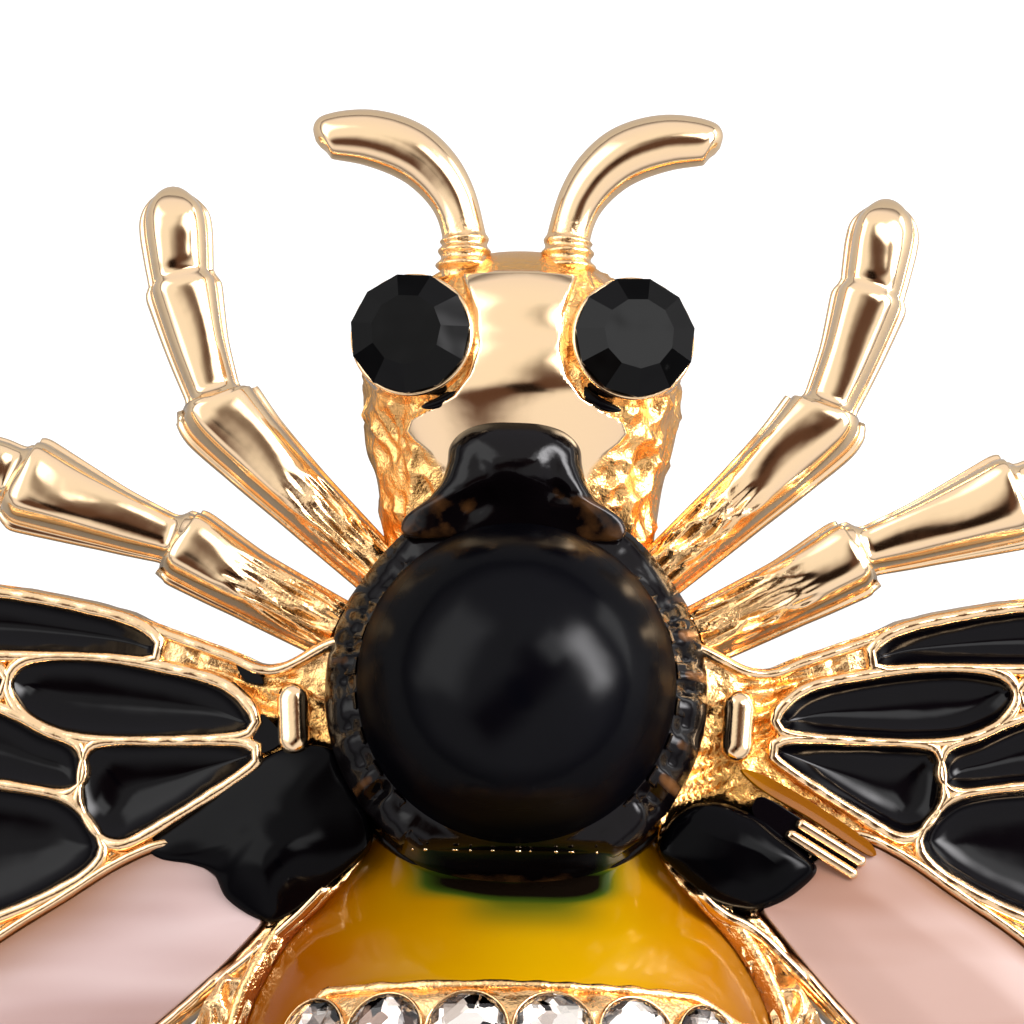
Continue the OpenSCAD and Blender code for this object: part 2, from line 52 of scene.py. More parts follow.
print("nodes", len(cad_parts), "bead at y", round(bead_y, 3), "mm")

# %% [markdown]
# ## Camera
# The photograph looks down on the bee from a little behind its tail, with the bee turned by about a degree.
# A long lens from 42 cm gives the flat perspective of a product picture. The camera aims where the bead then falls
# below the middle of the frame, as it does in the photograph.

# %% Camera
FRAME_MM, DISTANCE_MM, SENSOR_MM = 25.6, 420, 36
ELEVATION, ROLL = 79, 1.0
BEAD_MIDDLE_Z = 6.5
# How far above and left of the bead's middle the camera aims
AIM_UP, AIM_LEFT = 4.275, 0.1125


def swung(one, other, degrees):
    """The first of two square directions, swung towards the second."""
    angle = math.radians(degrees)
    return one * math.cos(angle) + other * math.sin(angle)


right = Vector((1, 0, 0))
back = swung(Vector((0, -1, 0)), Vector((0, 0, 1)), ELEVATION)
up = back.cross(right)
rolled_right, rolled_up = swung(right, up, ROLL), swung(up, -right, ROLL)
aim = Vector((0, bead_y, BEAD_MIDDLE_Z)) + rolled_up * AIM_UP - rolled_right * AIM_LEFT

camera = bpy.data.objects.new("camera", bpy.data.cameras.new("camera"))
bpy.context.scene.collection.objects.link(camera)
camera.data.sensor_width = SENSOR_MM
camera.data.lens = SENSOR_MM * DISTANCE_MM / FRAME_MM
camera.data.clip_start, camera.data.clip_end = 0.01, 20
facing = Matrix((rolled_right, rolled_up, back)).transposed().to_4x4()
camera.matrix_world = Matrix.Translation((aim + back * DISTANCE_MM) / 1000) @ facing
bpy.context.scene.camera = camera
print("lens", round(camera.data.lens), "mm")

# %% [markdown]
# ## Colours and nodes
# Every material is built from nodes. Colours are written as the hex values that a paint program shows,
# and one function turns them into the linear light that Blender reckons with. Another adds one node with its
# settings and its links.

# %% Colour and node helpers
def linear(hex_colour):
    """Linear colour of an sRGB hex value: a power of 2.4 above the dark end, a straight line below it."""
    c = np.array([int(hex_colour[i:i + 2], 16) for i in (1, 3, 5)]) / 255
    c = np.where(c <= 0.04045, c / 12.92, ((c + 0.055) / 1.055) ** 2.4)
    return (*c.tolist(), 1.0)


def add(tree, kind, inputs=None, **settings):
    """Adds a node, sets its settings and fills its inputs: each with a value, with an output of another node, or
    with another node, which stands for its first output in use."""
    node = tree.nodes.new("ShaderNode" + kind)
    for key, value in settings.items():
        setattr(node, key, value)
    for key, value in (inputs or {}).items():
        if isinstance(value, bpy.types.Node):
            value = next(output for output in value.outputs if output.enabled)
        if isinstance(value, bpy.types.NodeSocket):
            tree.links.new(value, node.inputs[key])
        else:
            node.inputs[key].default_value = value
    return node


def new_material(name):
    """An empty material, and its node tree."""
    material = bpy.data.materials.new(name)
    material.use_nodes = True
    material.node_tree.nodes.clear()
    return material, material.node_tree


def finish_material(material, tree, inputs):
    """Ends a material with one shader that has these inputs, and hands the material back."""
    shader = add(tree, "BsdfPrincipled", inputs)
    add(tree, "OutputMaterial", {"Surface": shader})
    return material


print("#808080 is", round(linear("#808080")[0], 4), "in linear light")

# %% [markdown]
# ## The studio
# Polished metal and glass show little of their own: they mirror the studio. So the light is drawn first, as a
# world of soft panels. A white tent surrounds the brooch. It is dim near the horizon, which gives the gold its brown
# outlines. A dark gap runs across it where the camera looks in, a bright softbox stands to the right, and a weak wide
# one to the left. The floor is a light table lit from below, because the photograph's ground is pure white.

# %% The studio's panels
# Each panel: degrees away from the photograph's axis, degrees round it, roll, half width, half height, soft edge,
# strength, colour. The first three are a shaded part of the tent, its long dark gap and the photographer.
PANELS = [
    (24, 42, 0, 9, 14, 9, 0.38, "#f0e4dc"),
    (6, 315, 90, 42, 11, 12, 0.20, "#c08d78"),
    (8, 285, 0, 10, 6, 5, 0.04, "#8a5a40"),
    (39, 45, 0, 8, 9, 5, 4.0, "#ffffff"),
    (59, 19, 16, 6, 18, 10, 26.0, "#fffdff"),
    (93, 21, 16, 6, 20, 6, 5.0, "#ffffff"),
    (56, 152, 0, 15, 25, 10, 3.2, "#ffffff"),
]
# The tent's strength above and at the horizon, and how high its dim foot reaches
TENT_TOP, TENT_SIDE, TENT_FOOT = 1.06, 0.22, 0.32

world = bpy.data.worlds.new("studio")
bpy.context.scene.world = world
world.use_nodes = True
sky = world.node_tree
sky.nodes.clear()
ray = add(sky, "TexCoord").outputs["Generated"]
ray = add(sky, "VectorMath", {0: ray}, operation="NORMALIZE")
height = add(sky, "SeparateXYZ", {0: ray}).outputs["Z"]
tent = add(sky, "MapRange", {"Value": height, "From Min": 0.0, "From Max": TENT_FOOT, "To Min": TENT_SIDE,
                             "To Max": TENT_TOP}, interpolation_type="SMOOTHSTEP")
colour = add(sky, "Mix", {0: height, 6: linear("#f3f0fa"), 7: linear("#fffdfb")}, data_type="RGBA")
colour = add(sky, "VectorMath", {0: colour, "Scale": tent}, operation="SCALE")
for away, around, roll, half_w, half_h, soft, strength, tint in PANELS:
    out = swung(rolled_right, rolled_up, around)
    centre, outer = swung(back, out, away), swung(out, -back, away)
    wide = swung(outer, centre.cross(outer), roll)
    # One share falls off across the panel and one along it. The third keeps the panel off the far side of the sky
    shares = []
    for axis, half in ((wide, half_w), (centre.cross(wide), half_h)):
        off = add(sky, "VectorMath", {0: ray, 1: tuple(axis)}, operation="DOT_PRODUCT")
        off = add(sky, "Math", {0: off}, operation="ABSOLUTE")
        none, full = (math.sin(math.radians(edge)) for edge in (half + soft, half - soft / 2))
        shares.append(add(sky, "MapRange", {"Value": off, "From Min": none, "From Max": full},
                          interpolation_type="SMOOTHSTEP"))
    ahead = add(sky, "VectorMath", {0: ray, 1: tuple(centre)}, operation="DOT_PRODUCT")
    shares.append(add(sky, "MapRange", {"Value": ahead, "From Min": 0.05, "From Max": 0.3}))
    share = shares[0]
    for other in shares[1:]:
        share = add(sky, "Math", {0: share, 1: other}, operation="MULTIPLY")
    light = (*(c * strength for c in linear(tint)[:3]), 1)
    colour = add(sky, "Mix", {0: share, 6: colour, 7: light}, data_type="RGBA")
shine = add(sky, "Background", {"Color": colour, "Strength": 1.0})
add(sky, "OutputWorld", {"Surface": shine})
bpy.context.scene.view_settings.view_transform = "Standard"
print("panels", len(PANELS))

# %% The light table
TABLE_R, TABLE_CORNERS = 1.2, 96  # metres, and corners round its rim
MIRRORED_GLOW = 0.16


def circle(count):
    """Angles once round, without the last one that would repeat the first."""
    return np.linspace(0, 2 * np.pi, count, endpoint=False)


def polar(radius, turn, height):
    """Points at a radius, a turn about the upright axis and a height."""
    return np.stack(np.broadcast_arrays(radius * np.cos(turn), radius * np.sin(turn), height), -1)


def light_table():
    """A round white sheet under the brooch, lit from below. Mirrors see it dimmer, as they see it at a low angle."""
    mesh = bpy.data.meshes.new("light_table")
    mesh.from_pydata(polar(TABLE_R, circle(TABLE_CORNERS), 0.0).tolist(), [], [list(range(TABLE_CORNERS))])
    sheet = bpy.data.objects.new("light_table", mesh)
    bpy.context.scene.collection.objects.link(sheet)
    material, tree = new_material("white_acrylic_sheet")
    mirrored = add(tree, "LightPath").outputs["Is Glossy Ray"]
    glow = add(tree, "MapRange", {"Value": mirrored, "To Min": 1.0, "To Max": MIRRORED_GLOW})
    mesh.materials.append(finish_material(material, tree, {
        "Base Color": linear("#787878"), "Roughness": 0.6, "Emission Color": linear("#ffffff"),
        "Emission Strength": glow}))
    return sheet


light_table()

# %% [markdown]
# ## Finishes
# The casting is zinc alloy with a warm gold plate. Where it was polished it mirrors the studio, and where the
# mould's grain was left, in hollows and on the veins, it glitters. Both are one metal, so one material
# mixes them by an attribute that each piece carries.

# %% Gold plate
# Cells of each pattern to the metre: waves of polished skin 0.9 mm long, mould grain 0.15 mm, drifts of enamel's
# tone 3 mm, ripples of its skin 1.1 mm, blots of the flood 0.7 mm, drifts in the yellow 4 mm, patches of painted
# reflection on the foil 0.3 mm
SKIN_WAVES, MOULD_GRAIN, TONE_DRIFT, SKIN_RIPPLE, BLOTS, HONEY_DRIFT, PAINTED_REFLECTION_PATCHES = (
    1100, 6500, 1000 / 3, 900, 1400, 260, 3000)
# Depths of the bumps in metres
WAVE_DEEP, MOULD_DEEP, RIPPLE_DEEP, HONEY_DEEP = 0.00001, 0.00006, 0.00002, 0.00008


def gold_plate():
    """Polished gold plate that turns to cast grain where the attribute 'grain' rises."""
    material, tree = new_material("gold_plated_zinc_casting")
    place = add(tree, "TexCoord").outputs["Object"]
    grain = add(tree, "Attribute", attribute_name="grain").outputs["Fac"]
    wave = add(tree, "TexNoise", {"Vector": place, "Scale": SKIN_WAVES, "Detail": 2.0})
    mould = add(tree, "TexNoise", {"Vector": place, "Scale": MOULD_GRAIN, "Detail": 3.0, "Roughness": 0.6})
    deep = add(tree, "Math", {0: grain, 1: MOULD_DEEP}, operation="MULTIPLY")
    bump_wave = add(tree, "Bump", {"Height": wave, "Strength": 1.0, "Distance": WAVE_DEEP})
    bump = add(tree, "Bump", {"Height": mould, "Strength": 1.0, "Distance": deep, "Normal": bump_wave})
    warm = add(tree, "Mix", {0: grain, 6: linear("#fbdbb0"), 7: linear("#f3b868")}, data_type="RGBA")
    rough = add(tree, "MapRange", {"Value": grain, "To Min": 0.11, "To Max": 0.24})
    return finish_material(material, tree, {"Base Color": warm, "Metallic": 1.0, "Roughness": rough, "Normal": bump})


gold = gold_plate()

# %% Enamels and glass
def enamel(name, deep, shallow, roughness, ior, face_on=1.0, film=None):
    """Poured enamel or pressed glass: two tones that drift over a few millimetres, under a glossy skin with a faint
    ripple. The photograph's contrast is raised, so black skins mirror less than glass would: a low index, and
    face_on times more of the mirror image where one looks straight at it. A film of enamel dulls the skin between
    the two heights in mm given as film, fully at the lower one."""
    material, tree = new_material(name)
    place = add(tree, "TexCoord").outputs["Object"]
    drift = add(tree, "TexNoise", {"Vector": place, "Scale": TONE_DRIFT, "Detail": 2.0})
    tone = add(tree, "MapRange", {"Value": drift, "From Min": 0.3, "From Max": 0.7})
    body = add(tree, "Mix", {0: tone, 6: linear(deep), 7: linear(shallow)}, data_type="RGBA")
    ripples = add(tree, "TexNoise", {"Vector": place, "Scale": SKIN_RIPPLE, "Detail": 1.0})
    bump = add(tree, "Bump", {"Height": ripples, "Strength": 1.0, "Distance": RIPPLE_DEEP})
    level = 0.5
    if film:
        height = add(tree, "SeparateXYZ", {0: place}).outputs["Z"]
        clean = add(tree, "MapRange", {
            "Value": height, "From Min": film[0] / 1000, "From Max": film[1] / 1000})
        level, roughness = (
            add(tree, "MapRange", {"Value": clean, "To Min": filmed, "To Max": bare})
            for filmed, bare in ((0.08, level), (0.42, roughness)))
    return finish_material(material, tree, {
        "Base Color": body, "Roughness": roughness, "IOR": ior, "Specular IOR Level": level,
        "Specular Tint": (*(face_on,) * 3, 1.0), "Normal": bump})


# Thin enamel in the wings shows a faint grey sheen, and the thick drops on the shoulders are blacker. The bead's
# pressed glass is softer than the eyes' cut glass, and the claws' flood left a film round its foot
black_enamel = enamel("black_epoxy_enamel", "#030204", "#050406", 0.10, ior=1.24)
black_glass = enamel("black_pressed_glass", "#020204", "#040407", 0.17, ior=1.08, face_on=5.2, film=(7.4, 9.0))
thick_enamel = enamel("black_epoxy_drop", "#020203", "#030204", 0.12, ior=1.16)
jet_glass = enamel("black_cut_glass", "#010101", "#020202", 0.03, ior=1.24)


def flooded_claws():
    """Claws under a thin black flood of enamel: black where it is thick, and brown, then bare, where the attribute
    'grain' rises and the enamel was wiped off. The bare gold is painted a dark brown, far darker than the plate, as
    painted reflection of the black bead and enamel round it."""
    material, tree = new_material("enamel_flooded_claws")
    bare = add(tree, "Attribute", attribute_name="grain").outputs["Fac"]
    place = add(tree, "TexCoord").outputs["Object"]
    blot = add(tree, "TexNoise", {"Vector": place, "Scale": BLOTS, "Detail": 3.0})
    bare = add(tree, "Math", {0: bare, 1: blot}, operation="MULTIPLY")
    shown = add(tree, "MapRange", {"Value": bare, "From Min": 0.10, "From Max": 0.55})
    # The bare end is dark brown gold: painted reflection of the black around it
    body = add(tree, "Mix", {0: shown, 6: linear("#050304"), 7: linear("#a8703c")}, data_type="RGBA")
    bump = add(tree, "Bump", {"Height": blot, "Strength": 1.0, "Distance": RIPPLE_DEEP})
    return finish_material(material, tree, {
        "Base Color": body, "Metallic": shown, "Roughness": 0.13, "IOR": 1.28, "Normal": bump})


# The pearl's streaks run at this angle in degrees, with so many to the metre along and across them
POUR_WAY, STREAKS = 38, (60, 420, 60)


def pearl_finish():
    """Pearly pink enamel: flakes drawn out along the pour as pale and mauve streaks, whose pale tone is partly
    painted highlight, and tan where the attribute 'grain' rises: where it is thin beside the metal, and all over the
    right wing as painted shade."""
    material, tree = new_material("pearl_epoxy_enamel")
    place = add(tree, "TexCoord").outputs["Object"]
    flow = add(tree, "Mapping", {
        "Vector": place, "Rotation": (0, 0, math.radians(POUR_WAY)), "Scale": STREAKS})
    streak = add(tree, "TexNoise", {"Vector": flow, "Scale": 1.0, "Detail": 2.0})
    tone = add(tree, "MapRange", {"Value": streak, "From Min": 0.35, "From Max": 0.65})
    # The pale end of the streaks is partly painted highlight
    pink = add(tree, "Mix", {0: tone, 6: linear("#8f6e66"), 7: linear("#c3adaa")}, data_type="RGBA")
    thin = add(tree, "Attribute", attribute_name="grain").outputs["Fac"]
    body = add(tree, "Mix", {0: thin, 6: pink, 7: linear("#7c5230")}, data_type="RGBA")
    return finish_material(material, tree, {
        "Base Color": body, "Roughness": 0.30, "IOR": 1.32, "Coat Weight": 0.12, "Coat Roughness": 0.10})


# Colours of the yellow enamel from its left edge to its right one, amber at both edges where it lies thick and
# darker on the left as painted shade, and how far a drift shifts them in metres
HONEY = [(0.0, "#6e3200"), (0.16, "#8a4a00"), (0.34, "#986800"), (0.54, "#a47c01"), (0.70, "#a87d02"),
         (0.84, "#966002"), (1.0, "#74430a")]
HONEY_LEFT, HONEY_RIGHT, HONEY_SHIFT = -0.0062, 0.0080, 0.0024


def honey_enamel():
    """Translucent yellow enamel: amber at both edges where it lies thick, and darker on the left as painted shade;
    clear yellow right of the middle; and green, then black, beside the cup where the attribute 'grain' rises, as
    painted reflection of the black cup, with a stain of black enamel in one corner."""
    material, tree = new_material("honey_epoxy_enamel")
    place = add(tree, "TexCoord").outputs["Object"]
    across = add(tree, "SeparateXYZ", {0: place}).outputs["X"]
    drift = add(tree, "TexNoise", {"Vector": place, "Scale": HONEY_DRIFT, "Detail": 2.0})
    moved = add(tree, "Math", {0: drift, 1: HONEY_SHIFT, 2: across}, operation="MULTIPLY_ADD")
    share = add(tree, "MapRange", {"Value": moved, "From Min": HONEY_LEFT, "From Max": HONEY_RIGHT})
    ramp = add(tree, "ValToRGB", {"Fac": share})
    ramp.color_ramp.elements.remove(ramp.color_ramp.elements[1])
    ramp.color_ramp.elements[0].color = linear(HONEY[0][1])
    for at, tone in HONEY[1:]:
        ramp.color_ramp.elements.new(at).color = linear(tone)
    reflection_and_stain = add(tree, "Attribute", attribute_name="grain").outputs["Fac"]
    # Green, then black: painted reflection of the black cup, with one real stain in the left corner
    body = add(tree, "Mix", {0: reflection_and_stain, 6: ramp, 7: linear("#3a4f10")}, data_type="RGBA")
    black = add(tree, "MapRange", {"Value": reflection_and_stain, "From Min": 0.7, "From Max": 1.5})
    body = add(tree, "Mix", {0: black, 6: body, 7: linear("#0c0704")}, data_type="RGBA")
    bump = add(tree, "Bump", {"Height": drift, "Strength": 1.0, "Distance": HONEY_DEEP})
    return finish_material(material, tree, {"Base Color": body, "Roughness": 0.12, "IOR": 1.27, "Normal": bump})


claw_finish, yellow_enamel, pearl_enamel = flooded_claws(), honey_enamel(), pearl_finish()


def foiled_crystal():
    """Clear cut glass over a silver foil: it mirrors and bends light in every facet."""
    material, tree = new_material("foiled_crystal_glass")
    return finish_material(material, tree, {
        "Base Color": linear("#fbf6f0"), "Roughness": 0.02, "IOR": 1.56, "Transmission Weight": 1.0})


def foil_with_painted_reflections():
    """Foil behind cut glass, with painted reflections: its colour is broken into pale, brown and black patches 0.3 mm
    wide, as the facets would break its mirror image.
    """
    material, tree = new_material("foil_with_painted_reflections")
    place = add(tree, "TexCoord").outputs["Object"]
    # Painted reflection: pale, brown and black patches in the foil's colour
    patch = add(tree, "TexVoronoi", {"Vector": place, "Scale": PAINTED_REFLECTION_PATCHES}).outputs["Color"]
    shade = add(tree, "SeparateXYZ", {0: patch}).outputs["X"]
    ramp = add(tree, "ValToRGB", {"Fac": shade})
    ramp.color_ramp.interpolation = "CONSTANT"
    ramp.color_ramp.elements[0].color, ramp.color_ramp.elements[1].color = linear("#0c0807"), linear("#fffdfa")
    ramp.color_ramp.elements[1].position = 0.55
    ramp.color_ramp.elements.new(0.20).color = linear("#6a564c")
    ramp.color_ramp.elements.new(0.32).color = linear("#d8cdc6")
    return finish_material(material, tree, {"Base Color": ramp, "Metallic": 1.0, "Roughness": 0.10})


crystal_glass, foil = foiled_crystal(), foil_with_painted_reflections()
print("materials", len(bpy.data.materials))

# %% [markdown]
# ## Surfaces from arrays
# Each new piece is a grid of points worked out at once with numpy. A tube is a row of rings, a loop is a tube that
# meets itself, and a slab is a top and an under side. The helpers turn grids into closed meshes with their faces
# outwards, and put each piece where the frame is.

# %% Grid and mesh helpers
def grid_faces(rows, cols, wrap_rows=False):
    """Quads between each point, the next in its row, which is a ring, and the same two in the next row."""
    i = np.arange(rows if wrap_rows else rows - 1)[:, None]
    j = np.arange(cols)[None, :]
    below, beside = (i + 1) % rows, (j + 1) % cols
    return np.stack([i * cols + j, i * cols + beside, below * cols + beside, below * cols + j], -1).reshape(-1, 4)


def tube(rings):
    """Closed tube through rings (rows, cols, 3); each end closes on its ring's middle point."""
    rows, cols = rings.shape[:2]
    points = np.concatenate([rings.reshape(-1, 3), rings[[0, -1]].mean(1)])
    j = np.arange(cols)
    last = (rows - 1) * cols
    start = np.stack([j, np.full(cols, rows * cols), (j + 1) % cols], 1)
    end = np.stack([last + j, last + (j + 1) % cols, np.full(cols, rows * cols + 1)], 1)
    return points, grid_faces(rows, cols), np.concatenate([start, end])


def loop(rings):
    """Tube that closes on itself both ways."""
    rows, cols = rings.shape[:2]
    return rings.reshape(-1, 3), grid_faces(rows, cols, wrap_rows=True), np.zeros((0, 3), int)


def slab(top, bottom):
    """Closed plate between two grids (rows, cols, 3): each row's ring runs over the top and back under."""
    return tube(np.concatenate([top, bottom[:, ::-1]], 1))


def volume(points, quads, tris):
    """Signed volume: the sum over triangles of corner . (corner x corner) / 6."""
    t = np.concatenate([quads[:, [0, 1, 2]], quads[:, [0, 2, 3]], tris])
    a, b, c = points[t[:, 0]], points[t[:, 1]], points[t[:, 2]]
    return float((a * np.cross(b, c)).sum() / 6)


def piece(name, parts, material, slot, stands_for=(), grain=0.0, sharp=None, pushed=None):
    """Joins closed grids in mm, measured from the bead's middle, into one piece in the row frame. Grain is a number,
    or one array per part, which its mean fills up for the poles. Edges over the angle sharp stay hard. All is drawn
    on the right: a piece whose name ends in left is mirrored, and otherwise the function pushed moves the points."""
    points, quads, tris, grains, count = [], [], [], [], 0
    for k, (p, q, t) in enumerate(parts):
        if name.endswith("_left"):
            p = p * [-1, 1, 1]
        elif pushed:
            p = pushed(p)
        if volume(p, q, t) < 0:
            q, t = q[:, ::-1], t[:, ::-1]
        points.append(p)
        quads.append(q + count)
        tris.append(t + count)
        g = np.atleast_1d(grain[k] if isinstance(grain, list) else grain)
        grains.append(np.concatenate([g, np.full(len(p) - len(g), g.mean())]))
        count += len(p)
    points = (np.concatenate(points) + [0, bead_y, 0]) / 1000
    mesh = bpy.data.meshes.new(name)
    mesh.from_pydata(points.tolist(), [], np.concatenate(quads).tolist() + np.concatenate(tris).tolist())
    mesh.polygons.foreach_set("use_smooth", np.ones(len(mesh.polygons), bool))
    if sharp:
        mesh.set_sharp_from_angle(angle=math.radians(sharp))
    mesh.attributes.new("grain", "FLOAT", "POINT").data.foreach_set("value", np.concatenate(grains).astype(np.float32))
    mesh.materials.append(material)
    made = bpy.data.objects.new(name, mesh)
    bpy.context.scene.collection.objects.link(made)
    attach(made, "root")
    if stands_for:
        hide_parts(*stands_for)
    print(name, len(mesh.polygons), "faces")
    return made


def both(name, make, material, slot, stands_for=None, **more):
    """A piece on the right and its mirror image on the left."""
    for side in ("right", "left"):
        nodes = [n.replace("SIDE", side) for n in (stands_for or [])]
        piece(f"{name}_{side}", make, material, slot, nodes, **more)

# %% Curve helpers
def unit(vectors):
    """The same directions, one long."""
    return vectors / np.linalg.norm(vectors, axis=-1, keepdims=True)


def run_along(path):
    """Length run from the path's start to each of its points."""
    return np.concatenate([[0], np.cumsum(np.linalg.norm(np.diff(path, axis=0), axis=1))])


def eased(count):
    """Shares from 0 to 1 that crowd at both ends, where surfaces bend most."""
    return (1 - np.cos(np.linspace(0, np.pi, count))) / 2


def spline(table, steps, closed=False):
    """Smooth curve through a table's rows (Catmull-Rom): each point is a cubic blend of four neighbours."""
    p = np.asarray(table, float)
    n = len(p)
    spans = n if closed else n - 1
    u = np.arange(spans * steps) / steps if closed else np.linspace(0, spans, spans * steps + 1)
    i = np.minimum(u.astype(int), spans - 1)
    s = (u - i)[:, None]
    pick = (lambda k: p[k % n]) if closed else (lambda k: p[np.clip(k, 0, n - 1)])
    a, b, c, d = pick(i - 1), pick(i), pick(i + 1), pick(i + 2)
    return 0.5 * (2 * b + (c - a) * s + (2 * a - 5 * b + 4 * c - d) * s ** 2 + (3 * b - a - 3 * c + d) * s ** 3)


def evened(curve, count, closed=False):
    """The same curve with points at equal lengths."""
    c = np.concatenate([curve, curve[:1]]) if closed else curve
    run = run_along(c[:, :2])
    at = np.linspace(0, run[-1], count, endpoint=not closed)
    return np.stack([np.interp(at, run, c[:, k]) for k in range(c.shape[1])], 1)


def closed_curve(table, count, steps=10):
    """Smooth closed curve through a table's points, with points at equal lengths."""
    return evened(spline(table, steps, closed=True), count, closed=True)


def sideways(path, closed=False):
    """Unit vectors in the plan, square to the path's direction and on its right."""
    ahead = np.roll(path, -1, 0) - np.roll(path, 1, 0) if closed else np.gradient(path, axis=0)
    ahead = unit(ahead[:, :2])
    return np.stack([ahead[:, 1], -ahead[:, 0]], 1)


def ripple(points, size, seed, count=14):
    """Sum of waves in random directions, each about size mm long; mostly between -1 and 1."""
    rng = np.random.default_rng(seed)
    way = unit(rng.normal(size=(count, points.shape[-1])))
    waves = points @ (way * (2 * np.pi / (size * rng.uniform(0.7, 1.5, count)))[:, None]).T
    return np.sin(waves + rng.uniform(0, 2 * np.pi, count)).sum(-1) / math.sqrt(count / 2) / 1.6


def creases(points, size, seed):
    """Sharp folds: the ripple's distance from zero, so that valleys are narrow."""
    return 1 - np.abs(ripple(points, size, seed)) * 2


def step(value, low, high):
    """0 below low, 1 above high, smooth between them."""
    s = np.clip((value - low) / (high - low), 0, 1)
    return s * s * (3 - 2 * s)


def bell(value, middle, width, power=2):
    """1 at the middle and near 0 beyond the width: exp(-((value - middle) / width) ^ power)."""
    return np.exp(-((value - middle) / width) ** power)


print("half a circle of radius 1 measures", round(run_along(polar(1, np.linspace(0, np.pi, 50), 0))[-1], 3))

# %% [markdown]
# ## Wings
# Each wing is a cast plate whose thin raised veins fence off the cells, as in cloisonné work. A wing could be cut
# from a block, but its look lies in the round shoulders of the veins and in the enamel that creeps up them. So the
# plate is a sheet between two edge curves, every vein is a wire swept round its cell, and each enamel face rises
# where it meets the wire. All of them are drawn in plan and then laid on one plane that droops to the table.

# %% Wing tables and the drooping plane
# Half span and depth of the wings in mm, which the tables below give in shares
WING_X, WING_Y = 22.4, 16.6
# Height of the casting's flat back over the table, and above it the heights of the cells' floors and the veins' backs
STAND_H, FLOOR_H, VEIN_H = 3.2, 0.55, 1.25
# How far enamel lies below the veins, and the foot of each enamel piece
DROP, ENAMEL_FOOT = 0.12, FLOOR_H + 0.04
# Heights of the wires round the cells and of the rim, and the height at which the cells' wires start
WIRE_TOP, RIM_TOP, WIRE_FOOT = VEIN_H + 0.10, VEIN_H + 0.04, 0.4
OUTLINE = [
    [0.18, 0.090], [0.262, 0.052], [0.312, 0.074], [0.384, 0.110], [0.460, 0.146], [0.571, 0.178],
    [0.692, 0.188], [0.813, 0.166], [0.920, 0.096], [0.985, -0.008], [1.00, -0.120], [0.960, -0.252],
    [0.875, -0.358], [0.768, -0.418], [0.700, -0.432], [0.716, -0.510], [0.766, -0.620],
    [0.772, -0.725], [0.730, -0.806], [0.655, -0.812], [0.560, -0.735], [0.470, -0.628],
    [0.388, -0.520], [0.318, -0.442], [0.250, -0.368], [0.196, -0.296], [0.160, -0.220], [0.150, -0.060]]
CELLS = {
    "a": [[0.402, 0.072], [0.414, 0.096], [0.462, 0.120], [0.571, 0.150], [0.690, 0.160],
          [0.776, 0.142], [0.802, 0.112], [0.730, 0.088], [0.571, 0.085], [0.450, 0.077]],
    "b": [[0.294, -0.030], [0.324, 0.008], [0.384, 0.032], [0.464, 0.052], [0.531, 0.051], [0.552, 0.030],
          [0.538, -0.008], [0.500, -0.036], [0.442, -0.048], [0.366, -0.049], [0.302, -0.044]],
    "c": [[0.297, -0.082], [0.380, -0.077], [0.450, -0.077], [0.468, -0.094],
          [0.470, -0.146], [0.460, -0.184], [0.440, -0.203], [0.410, -0.192], [0.303, -0.104]],
    "d": [[0.486, -0.082], [0.522, -0.058], [0.572, -0.024], [0.660, 0.016], [0.722, 0.020],
          [0.740, -0.008], [0.700, -0.060], [0.640, -0.096], [0.571, -0.110], [0.490, -0.126]],
    "e": [[0.462, -0.212], [0.498, -0.160], [0.572, -0.138], [0.668, -0.122], [0.748, -0.104], [0.790, -0.150],
          [0.796, -0.244], [0.770, -0.350], [0.690, -0.364], [0.572, -0.312], [0.508, -0.276], [0.470, -0.244]],
    "f": [[0.574, 0.024], [0.602, 0.052], [0.690, 0.058], [0.800, 0.076], [0.880, 0.052],
          [0.900, -0.004], [0.850, -0.048], [0.776, -0.030], [0.745, 0.034], [0.660, 0.044]],
    "g": [[0.822, -0.084], [0.880, -0.066], [0.936, -0.038], [0.968, -0.120],
          [0.930, -0.238], [0.858, -0.326], [0.812, -0.330], [0.830, -0.230], [0.816, -0.140]]}
# The hind wing's pearl and the shoulders in mm, because both end against the bead's cup
PEARL = [[8.55, -3.78], [7.90, -4.02], [7.20, -4.50], [6.60, -5.05], [6.08, -5.50], [6.45, -6.05], [7.45, -7.05],
         [8.66, -8.10], [10.20, -9.30], [12.10, -11.02], [14.07, -12.42], [15.68, -12.75], [16.67, -12.08],
         [16.80, -10.79], [15.95, -9.23], [14.52, -7.60], [12.90, -6.22], [10.90, -4.98], [9.70, -4.24]]
SHOULDER = [[3.70, -3.05], [4.30, -2.55], [4.95, -2.50], [5.60, -2.95], [6.30, -3.50], [7.25, -4.20], [7.50, -4.60],
            [7.05, -5.10], [6.45, -5.50], [5.85, -5.62], [5.05, -5.15], [4.40, -4.66], [3.90, -4.20], [3.50, -3.72]]
# On the left the shoulder's enamel ran over the strut
FLOW = [[4.45, -1.30], [5.50, -1.26], [6.61, -1.82], [7.80, -2.78], [8.92, -3.62], [8.66, -4.02], [7.90, -4.16],
        [7.32, -4.40], [6.98, -5.02], [6.30, -5.50], [5.70, -5.62], [4.95, -5.16], [4.35, -4.66], [3.85, -4.20],
        [3.45, -3.70], [3.50, -2.90], [4.05, -2.00]]
# The plane droops along this direction in the plan, from a line through the wing's root
WING_WAY = swung(np.array([1.0, 0.0]), np.array([0.0, 1.0]), -28)
WING_ROOT = np.array([WING_X * 0.268, -WING_Y * 0.12])


def plan(table):
    """Shares of the wings' half span and depth in mm."""
    return np.asarray(table, float) * [WING_X, WING_Y]


